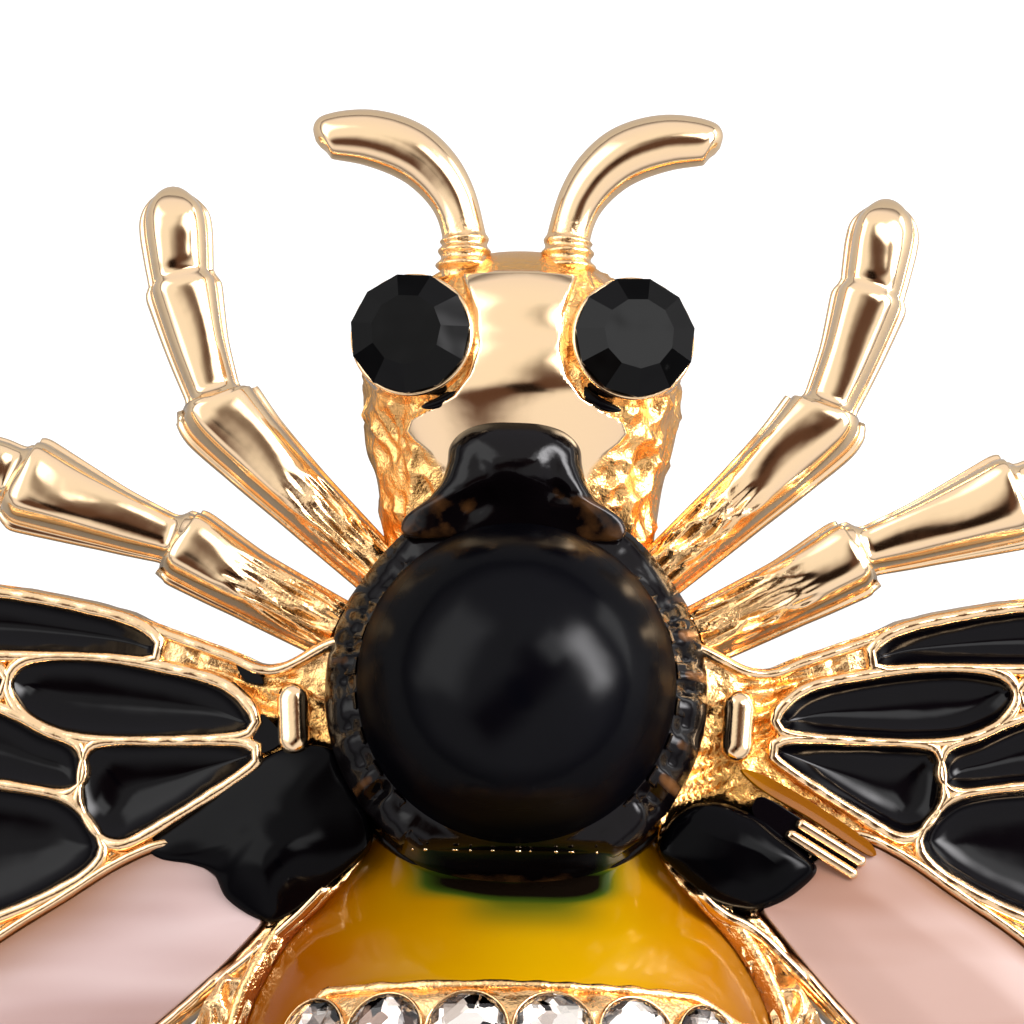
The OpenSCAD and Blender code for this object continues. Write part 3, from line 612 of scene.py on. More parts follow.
wing_outline = spline(plan(OUTLINE), 12, closed=True)
SLOPE = STAND_H / ((wing_outline - WING_ROOT) @ WING_WAY).max()
tilt = math.atan(SLOPE)


def on_wing(points, h):
    """Lays plan points on the drooping plane: they sink by the slope times their way out, and h stands square to it."""
    out = (points - WING_ROOT) @ WING_WAY
    h = np.broadcast_to(h, out.shape)
    flat = points + WING_WAY * (h * math.sin(tilt))[..., None]
    return np.concatenate([flat, (STAND_H - out * SLOPE + h * math.cos(tilt))[..., None]], -1)


def raised(p):
    """The right wing lies a little higher than the left one's mirror image, as cast and bent by hand: points move up
    by 0.1 to 0.5 mm, most along the seam, and a little towards the bead. The push fades out towards the tips."""
    x, y = p[:, 0], p[:, 1]
    share = step(x, 4.8, 6.4) * (1 - step(x, 13, 20)) * (1 - step(-y, 6.0, 9.5))
    return p + np.stack([-0.03 * (x - 6), np.clip(0.18 - 0.10 * y, 0.1, 0.52), 0 * x], 1) * share[:, None]


print("wings droop by", round(math.degrees(tilt), 1), "degrees")

# %% Distance to a cell's edge
def edge_distance(points, outline):
    """Distance from each point to the outline, negative inside: the nearest foot on any edge, signed by the
    number of edges that a ray to the right crosses."""
    flat = points.reshape(-1, 2)
    a, b = outline, np.roll(outline, -1, 0)
    ab = b - a
    s = np.clip(((flat[:, None] - a) * ab).sum(-1) / (ab ** 2).sum(-1), 0, 1)
    far = np.linalg.norm(flat[:, None] - a - s[..., None] * ab, axis=-1).min(1)
    spans = (a[:, 1] > flat[:, 1:2]) != (b[:, 1] > flat[:, 1:2])
    cross = a[:, 0] + (flat[:, 1:2] - a[:, 1]) * ab[:, 0] / np.where(ab[:, 1] == 0, 1e-9, ab[:, 1])
    inside = ((spans & (flat[:, :1] < cross)).sum(1) % 2) == 1
    return np.where(inside, -far, far).reshape(points.shape[:-1])


def outer_side(outline):
    """Unit vectors square to a closed outline that point out of it."""
    side = sideways(outline, closed=True)
    return side if edge_distance(outline[:1] + side[:1] * 0.05, outline)[0] > 0 else -side


cell_outlines = {k: closed_curve(plan(t), 110) for k, t in CELLS.items()}
pearl_outline, shoulder_outline, flow_outline = (
    closed_curve(t, n) for t, n in ((PEARL, 200), (SHOULDER, 130), (FLOW, 150)))
print("cells", len(cell_outlines), "and the pearl's outline is", round(run_along(pearl_outline)[-1], 1), "mm long")

# %% The plates under the veins
SEAM = [[0.35, -0.165], [0.43, -0.228], [0.50, -0.296], [0.571, -0.350], [0.64, -0.400], [0.70, -0.430]]
FORE_TOP = [[0.18, 0.085], *OUTLINE[1:11]]
FORE_LOW = [[0.17, -0.03], [0.26, -0.085], *SEAM, [0.768, -0.418], [0.875, -0.358], [0.960, -0.252], [1.00, -0.120]]
HIND_TOP = [[0.16, 0.010], [0.26, -0.070], *SEAM, *OUTLINE[15:19]]
HIND_LOW = [[0.155, -0.10], *OUTLINE[26:18:-1], OUTLINE[18]]


# Directions along and across the strut, whose folds run along it
STRUT_WAYS = np.array([[0.93, 0.36], [-0.36, 0.93]])


def wing_plate(upper, lower, cells, rows, cols):
    """Sheet between two edge curves: point (s, t) lies at share t between the curves' points at share s. Its top is
    low inside the cells and high outside, with the mould's creases near the root."""
    a, b = evened(spline(plan(upper), 12), rows), evened(spline(plan(lower), 12), rows)
    t = np.linspace(0, 1, cols)[None, :, None]
    flat = a[:, None] * (1 - t) + b[:, None] * t
    near = np.min([edge_distance(flat, c) for c in cells], 0)
    root = 1 - step(np.linalg.norm(flat - WING_ROOT, axis=-1), 1.0, 4.2)
    along = flat @ STRUT_WAYS.T * [0.30, 1.0]
    folds = 0.13 * creases(along, 0.62, 5) + 0.08 * creases(along, 1.3, 6)
    high = VEIN_H - 0.32 + 0.16 * (1 - root) ** 2 + 0.05 * ripple(flat, 0.6, 3) + root * folds
    h = FLOOR_H + (high - FLOOR_H) * step(near, 0.02, 0.12)
    top = on_wing(flat, h)
    grain = np.clip(0.55 + 0.45 * root, 0, 1)
    return slab(top, on_wing(flat, 0.0)), np.concatenate([grain, grain[:, ::-1] * 0.4], 1).reshape(-1)


def bordered(outline, width, low, high, outwards, sunk=0.0):
    """Wire round a closed outline: a rounded bar, width wide, carried along the outline moved outwards; it dips by
    the amounts in sunk. Width and outwards may change along the outline."""
    side = outer_side(outline)
    turn = circle(16)
    across = -np.cos(turn) * np.abs(np.cos(turn)) ** -0.25
    rise = np.sign(np.sin(turn)) * np.abs(np.sin(turn)) ** 0.7
    thick, outwards = np.broadcast_to(width, len(outline)), np.broadcast_to(outwards, len(outline))
    middle = outline + side * outwards[:, None]
    thick = thick * (1 + 0.05 * ripple(middle, 0.9, 7))
    crown = high + 0.020 * ripple(middle, 0.6, 8) - sunk
    d = outwards[:, None] + across[None] * thick[:, None] / 2
    h = np.where(rise[None] > 0, low + (crown[:, None] - low) * rise[None], low + 0.1 * rise[None])
    return loop(on_wing(outline[:, None] + side[:, None] * d[..., None], h))


def grown(outline, by):
    """The closed outline moved outwards, square to itself."""
    return outline + outer_side(outline) * by


fore, fore_grain = wing_plate(FORE_TOP, FORE_LOW, list(cell_outlines.values()), 200, 66)
hind, hind_grain = wing_plate(HIND_TOP, HIND_LOW, [pearl_outline, shoulder_outline], 164, 52)
rim_path = evened(wing_outline, 420, closed=True)
fences = [*cell_outlines.values(), pearl_outline]
wires = []
for k, c in enumerate(cell_outlines.values()):
    # Half the room to the nearest other cell, so that both cells' wires lie in one ridge
    half = np.min([edge_distance(c, f) for j, f in enumerate(fences) if j != k], 0) / 2
    half = np.clip(half, 0.17, 0.25)
    wires.append(bordered(c, 2 * half - 0.02, WIRE_FOOT, WIRE_TOP, half))
# The pearl's wire dips under the shoulder, and the rim under the shoulder and the bead's cup
hidden = 0.55 * (1 - step(pearl_outline[:, 0] - 0.35 * pearl_outline[:, 1], 9.0, 9.9))
pearl_wire = bordered(pearl_outline, 0.34, WIRE_FOOT, WIRE_TOP, 0.16, hidden)
x, y = rim_path.T
under = 0.7 * step(-y, 0.6, 1.4) * (1 - step(-y, 4.5, 5.0)) * (1 - step(x, 4.3, 4.8))
rim = bordered(rim_path, 0.40, 0.30, RIM_TOP, -0.19, under)
both("wing_plates", [fore, hind], gold, "gilt_alloy", grain=[fore_grain, hind_grain], pushed=raised)
both("wing_veins", [*wires, pearl_wire, rim], gold, "gilt_alloy", grain=0.16, pushed=raised)

# %% Enamel in the cells
def longest_first(outline):
    """The outline started at one of its two points that lie furthest apart."""
    gap = np.linalg.norm(outline[:, None] - outline[None], axis=-1)
    return np.roll(outline, -np.unravel_index(gap.argmax(), gap.shape)[0], 0)


def filled(outline, level, creep, bulge, rows=46, cols=22, reach=0.32):
    """Enamel in a cell: a sheet between the outline's two halves, low in the middle and drawn up by surface tension
    towards the wire: height = level + creep * exp(-distance / reach) + bulge * rounded distance."""
    outline = longest_first(outline)
    far = np.linalg.norm(outline - outline[:1], axis=1).argmax()
    one, two = outline[:far + 1], np.concatenate([outline[far:], outline[:1]])[::-1]
    one, two = (np.stack([np.interp(eased(rows) * (len(c) - 1), np.arange(len(c)), c[:, k]) for k in (0, 1)], 1)
                for c in (one, two))
    t = eased(cols)[None, :, None]
    flat = one[:, None] * (1 - t) + two[:, None] * t
    depth = np.maximum(-edge_distance(flat, outline), 0)
    h = level + creep * np.exp(-depth / reach) + bulge * np.sqrt(np.clip(depth / 1.2, 0, 1))
    return slab(on_wing(flat, h + 0.012 * ripple(flat, 2.6, 7)), on_wing(flat, ENAMEL_FOOT))


# The left cells were filled less, so their enamel is hollower than in the right ones
for key, outline in cell_outlines.items():
    for side, creep, reach in (("right", 0.40, 0.32), ("left", 0.52, 0.62)):
        face = filled(grown(outline, 0.07), VEIN_H - DROP - creep, creep + 0.02, 0.0, reach=reach)
        piece(f"fore_wing_face_{key}_{side}", [face], black_enamel, "black_enamel",
              [f"fore_wing_enamel_{side}_{key}"], pushed=raised)
pearl = filled(pearl_outline, VEIN_H - DROP - 0.10, 0.10, 0.30, rows=70, cols=40, reach=0.12)
# The pearl is thin along the fore wing's edge, where it turns tan. The right face is also tanned all over as
# painted shade, so the right wing's pearl is darker than the left one's.
gap = np.linalg.norm(pearl[0][:, None, :2] - evened(plan(SEAM), 60)[None], axis=-1).min(1)
thin = 0.85 * bell(gap, 0, 1.1)
for side, painted_shade in (("right", 0.55), ("left", 0.0)):
    piece(f"hind_wing_face_{side}", [pearl], pearl_enamel, "pearl_enamel", [f"hind_wing_enamel_{side}"],
          grain=[np.maximum(thin, painted_shade)], pushed=raised)

# %% [markdown]
# ## Shoulders
# A thick drop of black enamel covers each wing's shoulder beside the bead. It stands above the veins like a pillow,
# so its face is a dome over the outline: the height grows with the root of the distance from the edge.

# %% Shoulders
def pillow(outline, low, rise, power=3.0):
    """Thirty rings that shrink towards the middle: height = low + rise * (1 - share^power)^0.5, where rise is a
    function of the plan's points."""
    middle = outline.mean(0)
    share = np.sin(np.linspace(np.pi / 2, 0.02, 30))[:, None, None]
    flat = middle + (outline[None] - middle) * share
    share = share[..., 0]
    h = low + rise(flat) * (1 - share ** power) ** 0.5 + 0.02 * ripple(flat, 1.8, 9) * (1 - share)
    return tube(np.concatenate([on_wing(outline, ENAMEL_FOOT)[None], on_wing(flat, h)]))


def block(flat):
    """Right shoulder: highest in the middle, its top tipped outwards, with a ridge across."""
    x, y = flat[..., 0], flat[..., 1]
    return 0.70 + 0.10 * ((flat - [5.7, -4.0]) @ WING_WAY) - 0.10 * np.abs((x - 5.7) * 0.6 + (y + 4.1) * 0.8)


def flow(flat):
    """Left shoulder: a low sheet over the strut that swells to a dome beside the abdomen."""
    x, y = flat[..., 0], flat[..., 1]
    swell = 0.62 * bell(x, 5.7, 1.25) * bell(y, -4.25, 1.25)
    return 0.30 + swell + 0.10 * bell(x, 5.2, 0.7) * bell(y, -2.2, 0.7)


piece("shoulder_face_right", [pillow(shoulder_outline, 0.95, block)], thick_enamel, "black_enamel",
      ["shoulder_enamel_right"], pushed=raised)
piece("shoulder_face_left", [pillow(flow_outline, 1.12, flow, power=2.4)], thick_enamel, "black_enamel",
      ["shoulder_enamel_left"])


def rod(a, b, radius, squash=1.0):
    """Bar with rounded ends between two points (x, y, height above the wing's plane)."""
    a, b = np.array(a, float), np.array(b, float)
    s = eased(40)
    length = np.linalg.norm(b[:2] - a[:2])
    end = np.minimum(s, 1 - s) * length
    r = radius * np.sqrt(np.clip(1 - (1 - end / radius).clip(0, 1) ** 2, 0.0009, 1))
    path = a + (b - a) * s[:, None]
    side = sideways(path)
    turn = circle(20)
    flat = path[:, None, :2] + side[:, None] * (np.cos(turn) * r[:, None])[..., None]
    return tube(on_wing(flat, path[:, None, 2] + np.sin(turn) * r[:, None] * squash))


both("root_post", [rod([5.42, 0.35, 1.15], [5.32, -1.45, 1.15], 0.40, 0.8)], gold, "gilt_alloy", grain=0.06)
# Beside the right shoulder two polished bars show, with black enamel between them and amber enamel above
bars = [rod([6.86, -2.86, 1.28], [8.60, -3.84, 1.28], 0.15), rod([6.60, -3.14, 1.28], [8.40, -4.16, 1.28], 0.15)]
piece("strut_bars_right", bars, gold, "gilt_alloy", grain=0.05)
BLACK_GAP = [[5.95, -2.28], [6.90, -2.74], [8.30, -3.62], [8.15, -4.02], [6.60, -3.30], [5.80, -2.78]]
AMBER = [[5.45, -1.62], [6.2, -1.82], [7.40, -2.45], [8.70, -3.28], [8.72, -3.62], [7.2, -2.75], [6.0, -2.12]]
piece("strut_gap_right", [filled(closed_curve(BLACK_GAP, 90), 1.20, 0.02, 0.03)], black_enamel, "black_enamel")
piece("strut_amber_right", [filled(closed_curve(AMBER, 90), 1.20, 0.06, 0.02)], yellow_enamel, "yellow_enamel")
# Black enamel also lies in the grooves beside the left root, and a thin bright line runs over the left shoulder
GROOVES = [[[6.36, -0.39], [5.85, -0.68], [5.63, -1.10], [6.15, -1.40], [6.62, -1.22]],
           [[6.85, 0.96], [6.42, 0.78], [6.15, 0.36], [6.62, 0.46]]]
piece("root_grooves_left", [filled(closed_curve(g, 60), 1.16, 0.03, 0.0, rows=20, cols=12) for g in GROOVES],
      black_enamel, "black_enamel")
piece("strut_line_left", [rod([6.95, -4.02, 1.30], [7.85, -3.98, 1.22], 0.07)], gold, "gilt_alloy", grain=0.3)

# %% [markdown]
# ## Head
# The head is a polished dome with a raised face plate between the eyes and rough, creased cheeks beside it. A sculptor
# would push these out of one lump, and so does the grid: an arch swept from neck to crown, lifted inside the plate's
# outline and folded outside it. Each eye sits in a thin round cup that leans outwards.

# %% Head
# Radius of the bead's cup, and where the head starts before the bead's centre
CUP_R, NECK_Y = 4.96, 4.61
HEAD_L, HEAD_W, HEAD_H = 6.8, 8.1, 3.9
# Share of the head's length, and there the shares of its width and height
HEAD = [[-0.12, 0.80, 0.58], [0.00, 0.85, 0.70], [0.16, 0.89, 0.84], [0.30, 0.95, 0.95], [0.41, 0.98, 1.02],
        [0.52, 0.985, 1.05], [0.62, 0.96, 1.045], [0.74, 0.86, 1.00], [0.88, 0.62, 0.86], [0.97, 0.38, 0.62],
        [1.00, 0.22, 0.34]]
# Half width of the face plate in mm at distances in front of the bead's centre
PLATE = [[3.8, 1.5], [5.2, 1.72], [5.6, 1.9], [5.9, 2.15], [6.2, 2.55], [6.45, 2.75], [6.7, 2.62], [6.95, 2.0],
         [7.2, 1.55], [7.7, 1.2], [8.4, 1.02], [9.3, 1.05], [10.0, 1.25], [10.4, 1.35], [10.8, 1.3], [11.4, 1.2]]
# The plate's middle line, and where its ridge runs across it
PLATE_X, RIDGE_Y = -0.10, 7.35


def head_arches(rows, turns):
    """Rows of arches: at share v of the length, x = half width * cos t and height = full height * sin(t) ^ 0.62."""
    r = spline(HEAD, 14)
    v = np.linspace(r[0, 0], 1, rows)[:, None]
    w, h = (np.interp(v, r[:, 0], r[:, k]) for k in (1, 2))
    t = np.linspace(0, np.pi, turns)
    x, z = -w * HEAD_W / 2 * np.cos(t), STAND_H + h * HEAD_H * np.abs(np.sin(t)) ** 0.62
    return np.stack(np.broadcast_arrays(x, NECK_Y + v * HEAD_L, z), -1)


def head():
    """The lump of the head: lifted inside the face plate's outline, creased outside it. The plate has a ridge across
    it between the eyes, from which it falls away to both sides."""
    grid = head_arches(200, 170)
    x, y, z = np.moveaxis(grid, -1, 0)
    off = np.abs(x - PLATE_X) - np.interp(y, *np.array(PLATE).T)
    on_plate = (1 - step(off, -0.04, 0.12)) * (1 - step(y, 10.42, 10.56))
    fold = 0.11 * creases(grid * [1, 0.6, 1], 1.3, 21) + 0.05 * creases(grid * [1, 0.5, 1], 0.5, 22)
    ridge = 0.07 - 0.15 * (np.hypot(y - RIDGE_Y, 0.2) - 0.2) * step(y, 4.8, 5.6) * (1 - step(y, 8.6, 10.2))
    lift = (0.10 + ridge) * on_plate + (1 - on_plate) * (fold * step(off, 0.08, 0.4) - 0.05)
    outward = np.stack([x, np.zeros_like(x), z - STAND_H], -1)
    outward /= np.linalg.norm(outward, axis=-1, keepdims=True) + 1e-9
    grid = grid + outward * (lift * step(z - STAND_H, 0.0, 0.5))[..., None]
    return tube(grid), ((1 - on_plate) * 0.85).reshape(-1)


head_grid, head_grain = head()
piece("head", [head_grid], gold, "gilt_alloy", grain=[head_grain], sharp=60)

# %% Eye cups and eyes
EYE_D, EYE_LEAN = 3.0, math.radians(12)
EYE_X, EYE_Y, EYE_Z = 2.81, NECK_Y + 0.605 * HEAD_L, STAND_H + HEAD_H + 0.1


def at_eye(points):
    """Leans points about +Y by the eye's lean and moves them to the right eye."""
    x, y, z = np.moveaxis(points, -1, 0)
    c, s = math.cos(EYE_LEAN), math.sin(EYE_LEAN)
    return np.stack([x * c + z * s + EYE_X, y + EYE_Y, z * c - x * s + EYE_Z], -1)


def turned_profile(profile, turns=96):
    """Turns a profile of radius and height about the upright axis."""
    p = np.asarray(profile, float)
    return polar(p[:, :1], circle(turns), p[:, 1:])


# The cup's wall from its foot inside the head over its rounded lip and down to the stone
EYE_WALL = [[1.1, -2.6], [1.62, -2.2], [1.66, -1.5], [1.62, -0.8], [1.58, -0.3], [1.57, -0.16], [1.53, -0.10],
            [1.47, -0.10], [1.42, -0.16], [1.40, -0.5], [1.0, -0.9]]
both("eye_cup", [tube(at_eye(turned_profile(spline(EYE_WALL, 5))))], gold, "gilt_alloy", grain=0.1)


def plain_stone(d, crown=0.19, table=0.30, depth=0.34, facets=11):
    """Plainer cut of a pressed stone: table, one ring of wide facets, a low girdle and as many facets to the point."""
    a = 2 * np.pi * (np.arange(facets) + 0.35) / facets
    rings = [(0.03, -depth), (0.505, -0.03), (0.515, 0.035), (table, crown)]
    return tube(np.stack([polar(d * r, a, d * z) for r, z in rings]))


points, quads, tris = plain_stone(EYE_D)
both("eye", [(at_eye(points), quads, tris)], jet_glass, "black_glass", ["eye_stone_SIDE"], sharp=4)

# %% Painted shade beside the eye cups
def eye_groove_painted_shade():
    """A black sliver in the groove between a cup and the face plate, as painted shade: a crescent round the eye,
    thickest in its middle."""
    a = np.radians(np.linspace(196, 262, 40))
    thick = 0.17 * np.sqrt(np.clip(1 - ((a - a.mean()) / (a[-1] - a[0]) * 2) ** 2, 0.002, 1))[:, None]
    turn = circle(16)
    ring = polar(1.80 + thick * np.cos(turn), a[:, None], thick * np.sin(turn) * 0.7)
    return tube(ring + [EYE_X - 0.05, EYE_Y, EYE_Z - 0.42])


# Black slivers as painted shade in the grooves beside the eyes
both("eye_groove_painted_shade", [eye_groove_painted_shade()], black_enamel, "black_enamel")

# %% [markdown]
# ## Antennae and legs
# Antennae and legs are tapering bars that change direction, with collars at each joint. A sweep is right for both:
# one profile carried along the path. The antenna's profile is round. A leg's profile has a flange at the foot,
# steep sides and a nearly flat back, whose small twists break the mirror image into streaks.

# %% Antennae
# Points of the path in shares of its reach, and the share of the bar's width there
ANTENNA = [[0.00, -0.16, 0.74], [0.00, 0.00, 0.80], [0.01, 0.16, 0.80], [0.08, 0.38, 0.85], [0.21, 0.57, 0.92],
           [0.39, 0.71, 1.00], [0.64, 0.79, 0.96], [0.90, 0.795, 0.78], [1.00, 0.76, 0.50]]
ANT_X, ANT_Y, ANT_Z = 1.3, NECK_Y + 0.955 * HEAD_L, STAND_H + 0.58 * HEAD_H
ANT_REACH, ANT_W, ANT_TURNS = 3.8, 1.50, 48
# Swellings along the root: middle share of the path, width of the swelling, height in mm
COLLARS = [(0.055, 0.018, 0.16), (0.115, 0.014, 0.10), (0.16, 0.012, 0.07)]


def antenna():
    """Round bar along the path; its radius swells at each collar and rounds off over the last share."""
    rows = evened(spline(ANTENNA, 16), 150)
    u = np.linspace(0, 1, len(rows))
    path = rows[:, :2] * ANT_REACH + [ANT_X, ANT_Y]
    radius = rows[:, 2] * ANT_W / 2 * (1 - 0.10 * step(u, 0.0, 0.25) * (1 - step(u, 0.25, 0.5)))
    for at, wide, tall in COLLARS:
        radius = radius + tall * bell(u, at, wide)
    radius = radius * np.sqrt(np.clip(1 - ((u - 0.955) / 0.045).clip(0, 1) ** 2, 0.0009, 1))
    side = sideways(path)
    turn = circle(ANT_TURNS)
    flat = path[:, None] + side[:, None] * (np.cos(turn) * radius[:, None])[..., None]
    z = ANT_Z + np.sin(turn)[None] * radius[:, None] * 0.95
    return tube(np.concatenate([flat, z[..., None]], -1)), u


(points, quads, tris), u = antenna()
# In the photograph both antennae stand 0.2 mm to the left of where the solid has them
for side, shift in (("right", -0.20), ("left", 0.20)):
    piece(f"antenna_{side}", [(points + [shift, 0, 0], quads, tris)], gold, "gilt_alloy",
          grain=[np.repeat(0.5 * (1 - step(u, 0.1, 0.3)), ANT_TURNS)])

# %% Legs
# Shares of the leg's reach sideways and forwards, and there the shares of its width and height
FRONT_LEG = [
    [0.40, 0.26, 0.60, 0.66], [0.62, 0.40, 0.74, 0.86], [0.77, 0.50, 0.88, 0.95], [0.855, 0.563, 1.00, 1.00],
    [0.875, 0.585, 0.98, 0.98], [0.88, 0.595, 0.60, 0.78], [0.93, 0.70, 0.70, 0.84], [0.965, 0.80, 0.84, 0.90],
    [0.972, 0.822, 0.86, 0.90], [0.975, 0.832, 0.70, 0.76], [0.98, 0.85, 0.74, 0.84], [0.99, 0.92, 0.80, 0.88],
    [0.998, 0.975, 0.78, 0.84], [1.00, 1.015, 0.70, 0.78]]
MID_LEG = [
    [0.30, 0.29, 0.70, 0.70], [0.45, 0.48, 0.78, 0.84], [0.545, 0.615, 0.92, 0.94], [0.563, 0.64, 0.92, 0.94],
    [0.575, 0.655, 0.54, 0.70], [0.675, 0.74, 0.74, 0.82], [0.815, 0.875, 1.10, 0.96], [0.835, 0.895, 1.08, 0.94],
    [0.843, 0.905, 0.68, 0.70], [0.865, 0.925, 0.76, 0.78], [0.93, 0.962, 0.78, 0.78], [0.975, 0.985, 0.74, 0.74],
    [1.00, 1.00, 0.70, 0.70]]
# Width, height, the foot's height over the table, and the length of the rounded tip
LEG_W, LEG_H, LEG_Z, LEG_TIP = 2.05, 1.5, STAND_H + 0.25, 0.95
# Half of the profile, from the foot up to the middle of the back: share of half the width, share of the height
LEG_HALF = [[1.12, 0.00], [1.14, 0.06], [1.13, 0.13], [1.08, 0.18], [1.00, 0.20], [0.96, 0.25], [0.94, 0.38],
            [0.91, 0.54], [0.85, 0.70], [0.76, 0.83], [0.65, 0.91], [0.52, 0.955], [0.38, 0.98], [0.20, 0.995],
            [0.0, 1.0]]


def leg(table, reach_x, reach_y, seed, twist, lean):
    """Pressed bar: across the path the profile runs flange, steep side, nearly flat back; along it the sections
    follow the table. The back twists a little along its length, and streaks fade from the body outwards."""
    t = np.asarray(table, float)
    t[:, 0] += lean * np.maximum(t[:, 1] - 0.6, 0)
    places = t[:, :2] * [reach_x, reach_y]
    path = evened(spline(places, 12), 260)
    run = run_along(path)
    # The table's widths and heights at their places along the path, softened over a few rows
    at = np.array([run[np.linalg.norm(path - p, axis=1).argmin()] for p in places])
    at = np.maximum.accumulate(at + np.arange(len(at)) * 1e-4)
    soft = np.exp(-0.5 * (np.arange(-8, 9) / 2.6) ** 2)
    wide, tall = (np.convolve(np.pad(np.interp(run, at, t[:, k]) * full, 8, "edge"), soft / soft.sum(), "valid")
                  for k, full in ((2, LEG_W / 2), (3, LEG_H)))
    tip = np.sqrt(1 - (1 - np.clip((run[-1] - run) / LEG_TIP, 0.004, 1)) ** 2)
    wide, tall = wide * tip, tall * (0.35 + 0.65 * tip)
    side = sideways(path)
    half = spline(LEG_HALF, 2)
    foot = np.stack([np.linspace(-1.0, 1.0, 7), np.zeros(7)], 1)
    profile = np.concatenate([half * [-1, 1], half[-2::-1], foot[::-1][1:-1]])
    x, up = profile[None, :, 0], profile[None, :, 1]
    flat = path[:, None] + side[:, None] * (x * wide[:, None])[..., None]
    u = run / run[-1]
    turn = 0.13 * ripple(u[:, None] * 9, 3.0, seed + 2, count=6)[:, None] + twist
    streaks = creases(np.stack(np.broadcast_arrays(x * 1.5, u[:, None] * 3.0), -1), 0.55, seed)
    rough = (1 - step(u, 0.10, 0.30))[:, None]
    h = up * tall[:, None] + step(up, 0.5, 0.95) * (turn * x * wide[:, None] + 0.15 * rough * streaks)
    points = np.concatenate([flat, (LEG_Z + h)[..., None]], -1)
    ends = [(points[k] - points[k].mean(0)) * 0.5 + points[k].mean(0) for k in (0, -1)]
    points = np.concatenate([ends[:1], points, ends[1:]])
    rough = np.concatenate([rough[:1], rough, rough[-1:]])
    return tube(points), np.broadcast_to(rough * 0.6, points.shape[:2]).reshape(-1)


# The front legs' feet lean outwards, the right one more
for name, table, reach_x, reach_y, seed, leans in (("front_leg", FRONT_LEG, 8.8, 12.9, 51, (0.11, 0.03)),
                                                   ("middle_leg", MID_LEG, 15.1, 6.15, 61, (0, 0))):
    for side, twist, lean in (("right", -0.10, leans[0]), ("left", 0.04, leans[1])):
        made, rough = leg(table, reach_x, reach_y, seed + (side == "left"), twist, lean)
        piece(f"{name}_{side}", [made], gold, "gilt_alloy", grain=[rough])

# %% [markdown]
# ## Bead, claws and neck cap
# The bead is a half ball on a short straight band. Twenty-eight claws lean against it from a round foot. They are one
# turned wall whose radius and height pulse with the angle, so the claws and the gaps between them come from one
# formula. Black enamel floods them: beside the wings they show through it as ribs, whose bare gold is painted dark
# brown as painted reflection of the black bead, and below it ends in a straight edge with worn claw tips. The neck
# cap is a small hood of black enamel with uneven dents, which hold a faint painted brown glint, and thin, brown flanks.

# %% Bead
BEAD_R, SEAT_Z = 4.0, 5.2
# Height of the claws' tips, their radius there, height of the cup's foot, and its top's height over the table
CLAW_TOP_Z, CUP_TOP_R, FOOT_H, CLAWS = 6.3, 4.26, 0.9, 28
FOOT_TOP = STAND_H + FOOT_H
# Below the bead the claws and the flood end in a straight edge, so far from the bead's centre
LOW_EDGE = 4.12
bow = np.linspace(0, np.pi / 2, 60)
bead_profile = np.concatenate([[[3.6, 0], [3.9, 0.02], [3.98, 0.1], [4.0, 0.3], [4.0, 0.8]],
                               np.stack([BEAD_R * np.cos(bow), 1.3 + BEAD_R * np.sin(bow)], 1)[:-1]])
piece("bead", [tube(turned_profile(bead_profile, 128) + [0, 0, SEAT_Z])], black_glass, "black_glass", ["thorax_bead"])

# %% Claws
def low_radius(a):
    """Radius of the straight edge below the bead at turn a: its distance from the centre over the turn's sine."""
    return LOW_EDGE / np.maximum(-np.sin(a), 0.5)


def claw_wall():
    """Turned wall: its radius falls from the foot to the claws' tips, and between claws it stands back and ends
    lower. The second result says how bare the gold is: down the claws beside the wings, though not at their tips,
    and at their feet below the bead."""
    a = circle(CLAWS * 20)
    claw = step(np.cos(CLAWS * a - np.pi), -0.55, 0.25)[None]
    h = np.linspace(0, 1, 26)[:, None]
    free = step(np.abs(np.cos(a))[None], 0.48, 0.72)
    claw = 1 - (1 - claw) * free
    top = (CLAW_TOP_Z - FOOT_TOP) * (0.80 + 0.06 * free + 0.10 * claw * free)
    rim_r = np.where(np.sin(a) < -0.8, np.minimum(low_radius(a), 4.75), CUP_TOP_R + 0.30 * (1 - free))
    out_r = CUP_R - 0.06 - (CUP_R - 0.02 - rim_r) * h ** 1.1 - 0.17 * (1 - claw) * step(h, 0.05, 0.3)
    out_r = out_r - 0.10 * (np.maximum(h - 0.9, 0) / 0.1) ** 2
    outer = polar(out_r, a, FOOT_TOP + top * h - 0.12)
    inner = polar(np.linspace(CUP_TOP_R - 0.20, 3.6, 6)[:, None], a, FOOT_TOP + top * np.linspace(1, 0.3, 6)[:, None])
    beside = np.maximum(np.cos(a - 0.1), 0)[None] ** 4 * 0.50 + np.maximum(-np.cos(a + 0.2), 0)[None] ** 4 * 0.30
    below = np.maximum(-np.sin(a), 0)[None] ** 6 * 0.34 * (1 - step(h, 0.1, 0.8))
    bare = np.concatenate([claw * beside * (1 - step(h, 0.8, 0.95)) + below, np.zeros((6, len(a)))])
    return tube(np.concatenate([outer, inner])), bare.reshape(-1)


# Radius of the black flood at angles round the bead; below, its edge runs straight across
FLOOD = [[0, 4.80], [25, 4.80], [42, 4.84], [62, 4.90], [90, 4.6], [118, 4.90], [138, 4.84], [155, 4.80], [180, 4.80],
         [205, 4.80], [222, 4.80], [234, 4.84], [240, 4.70], [306, 4.84], [318, 4.80], [335, 4.80], [360, 4.80]]


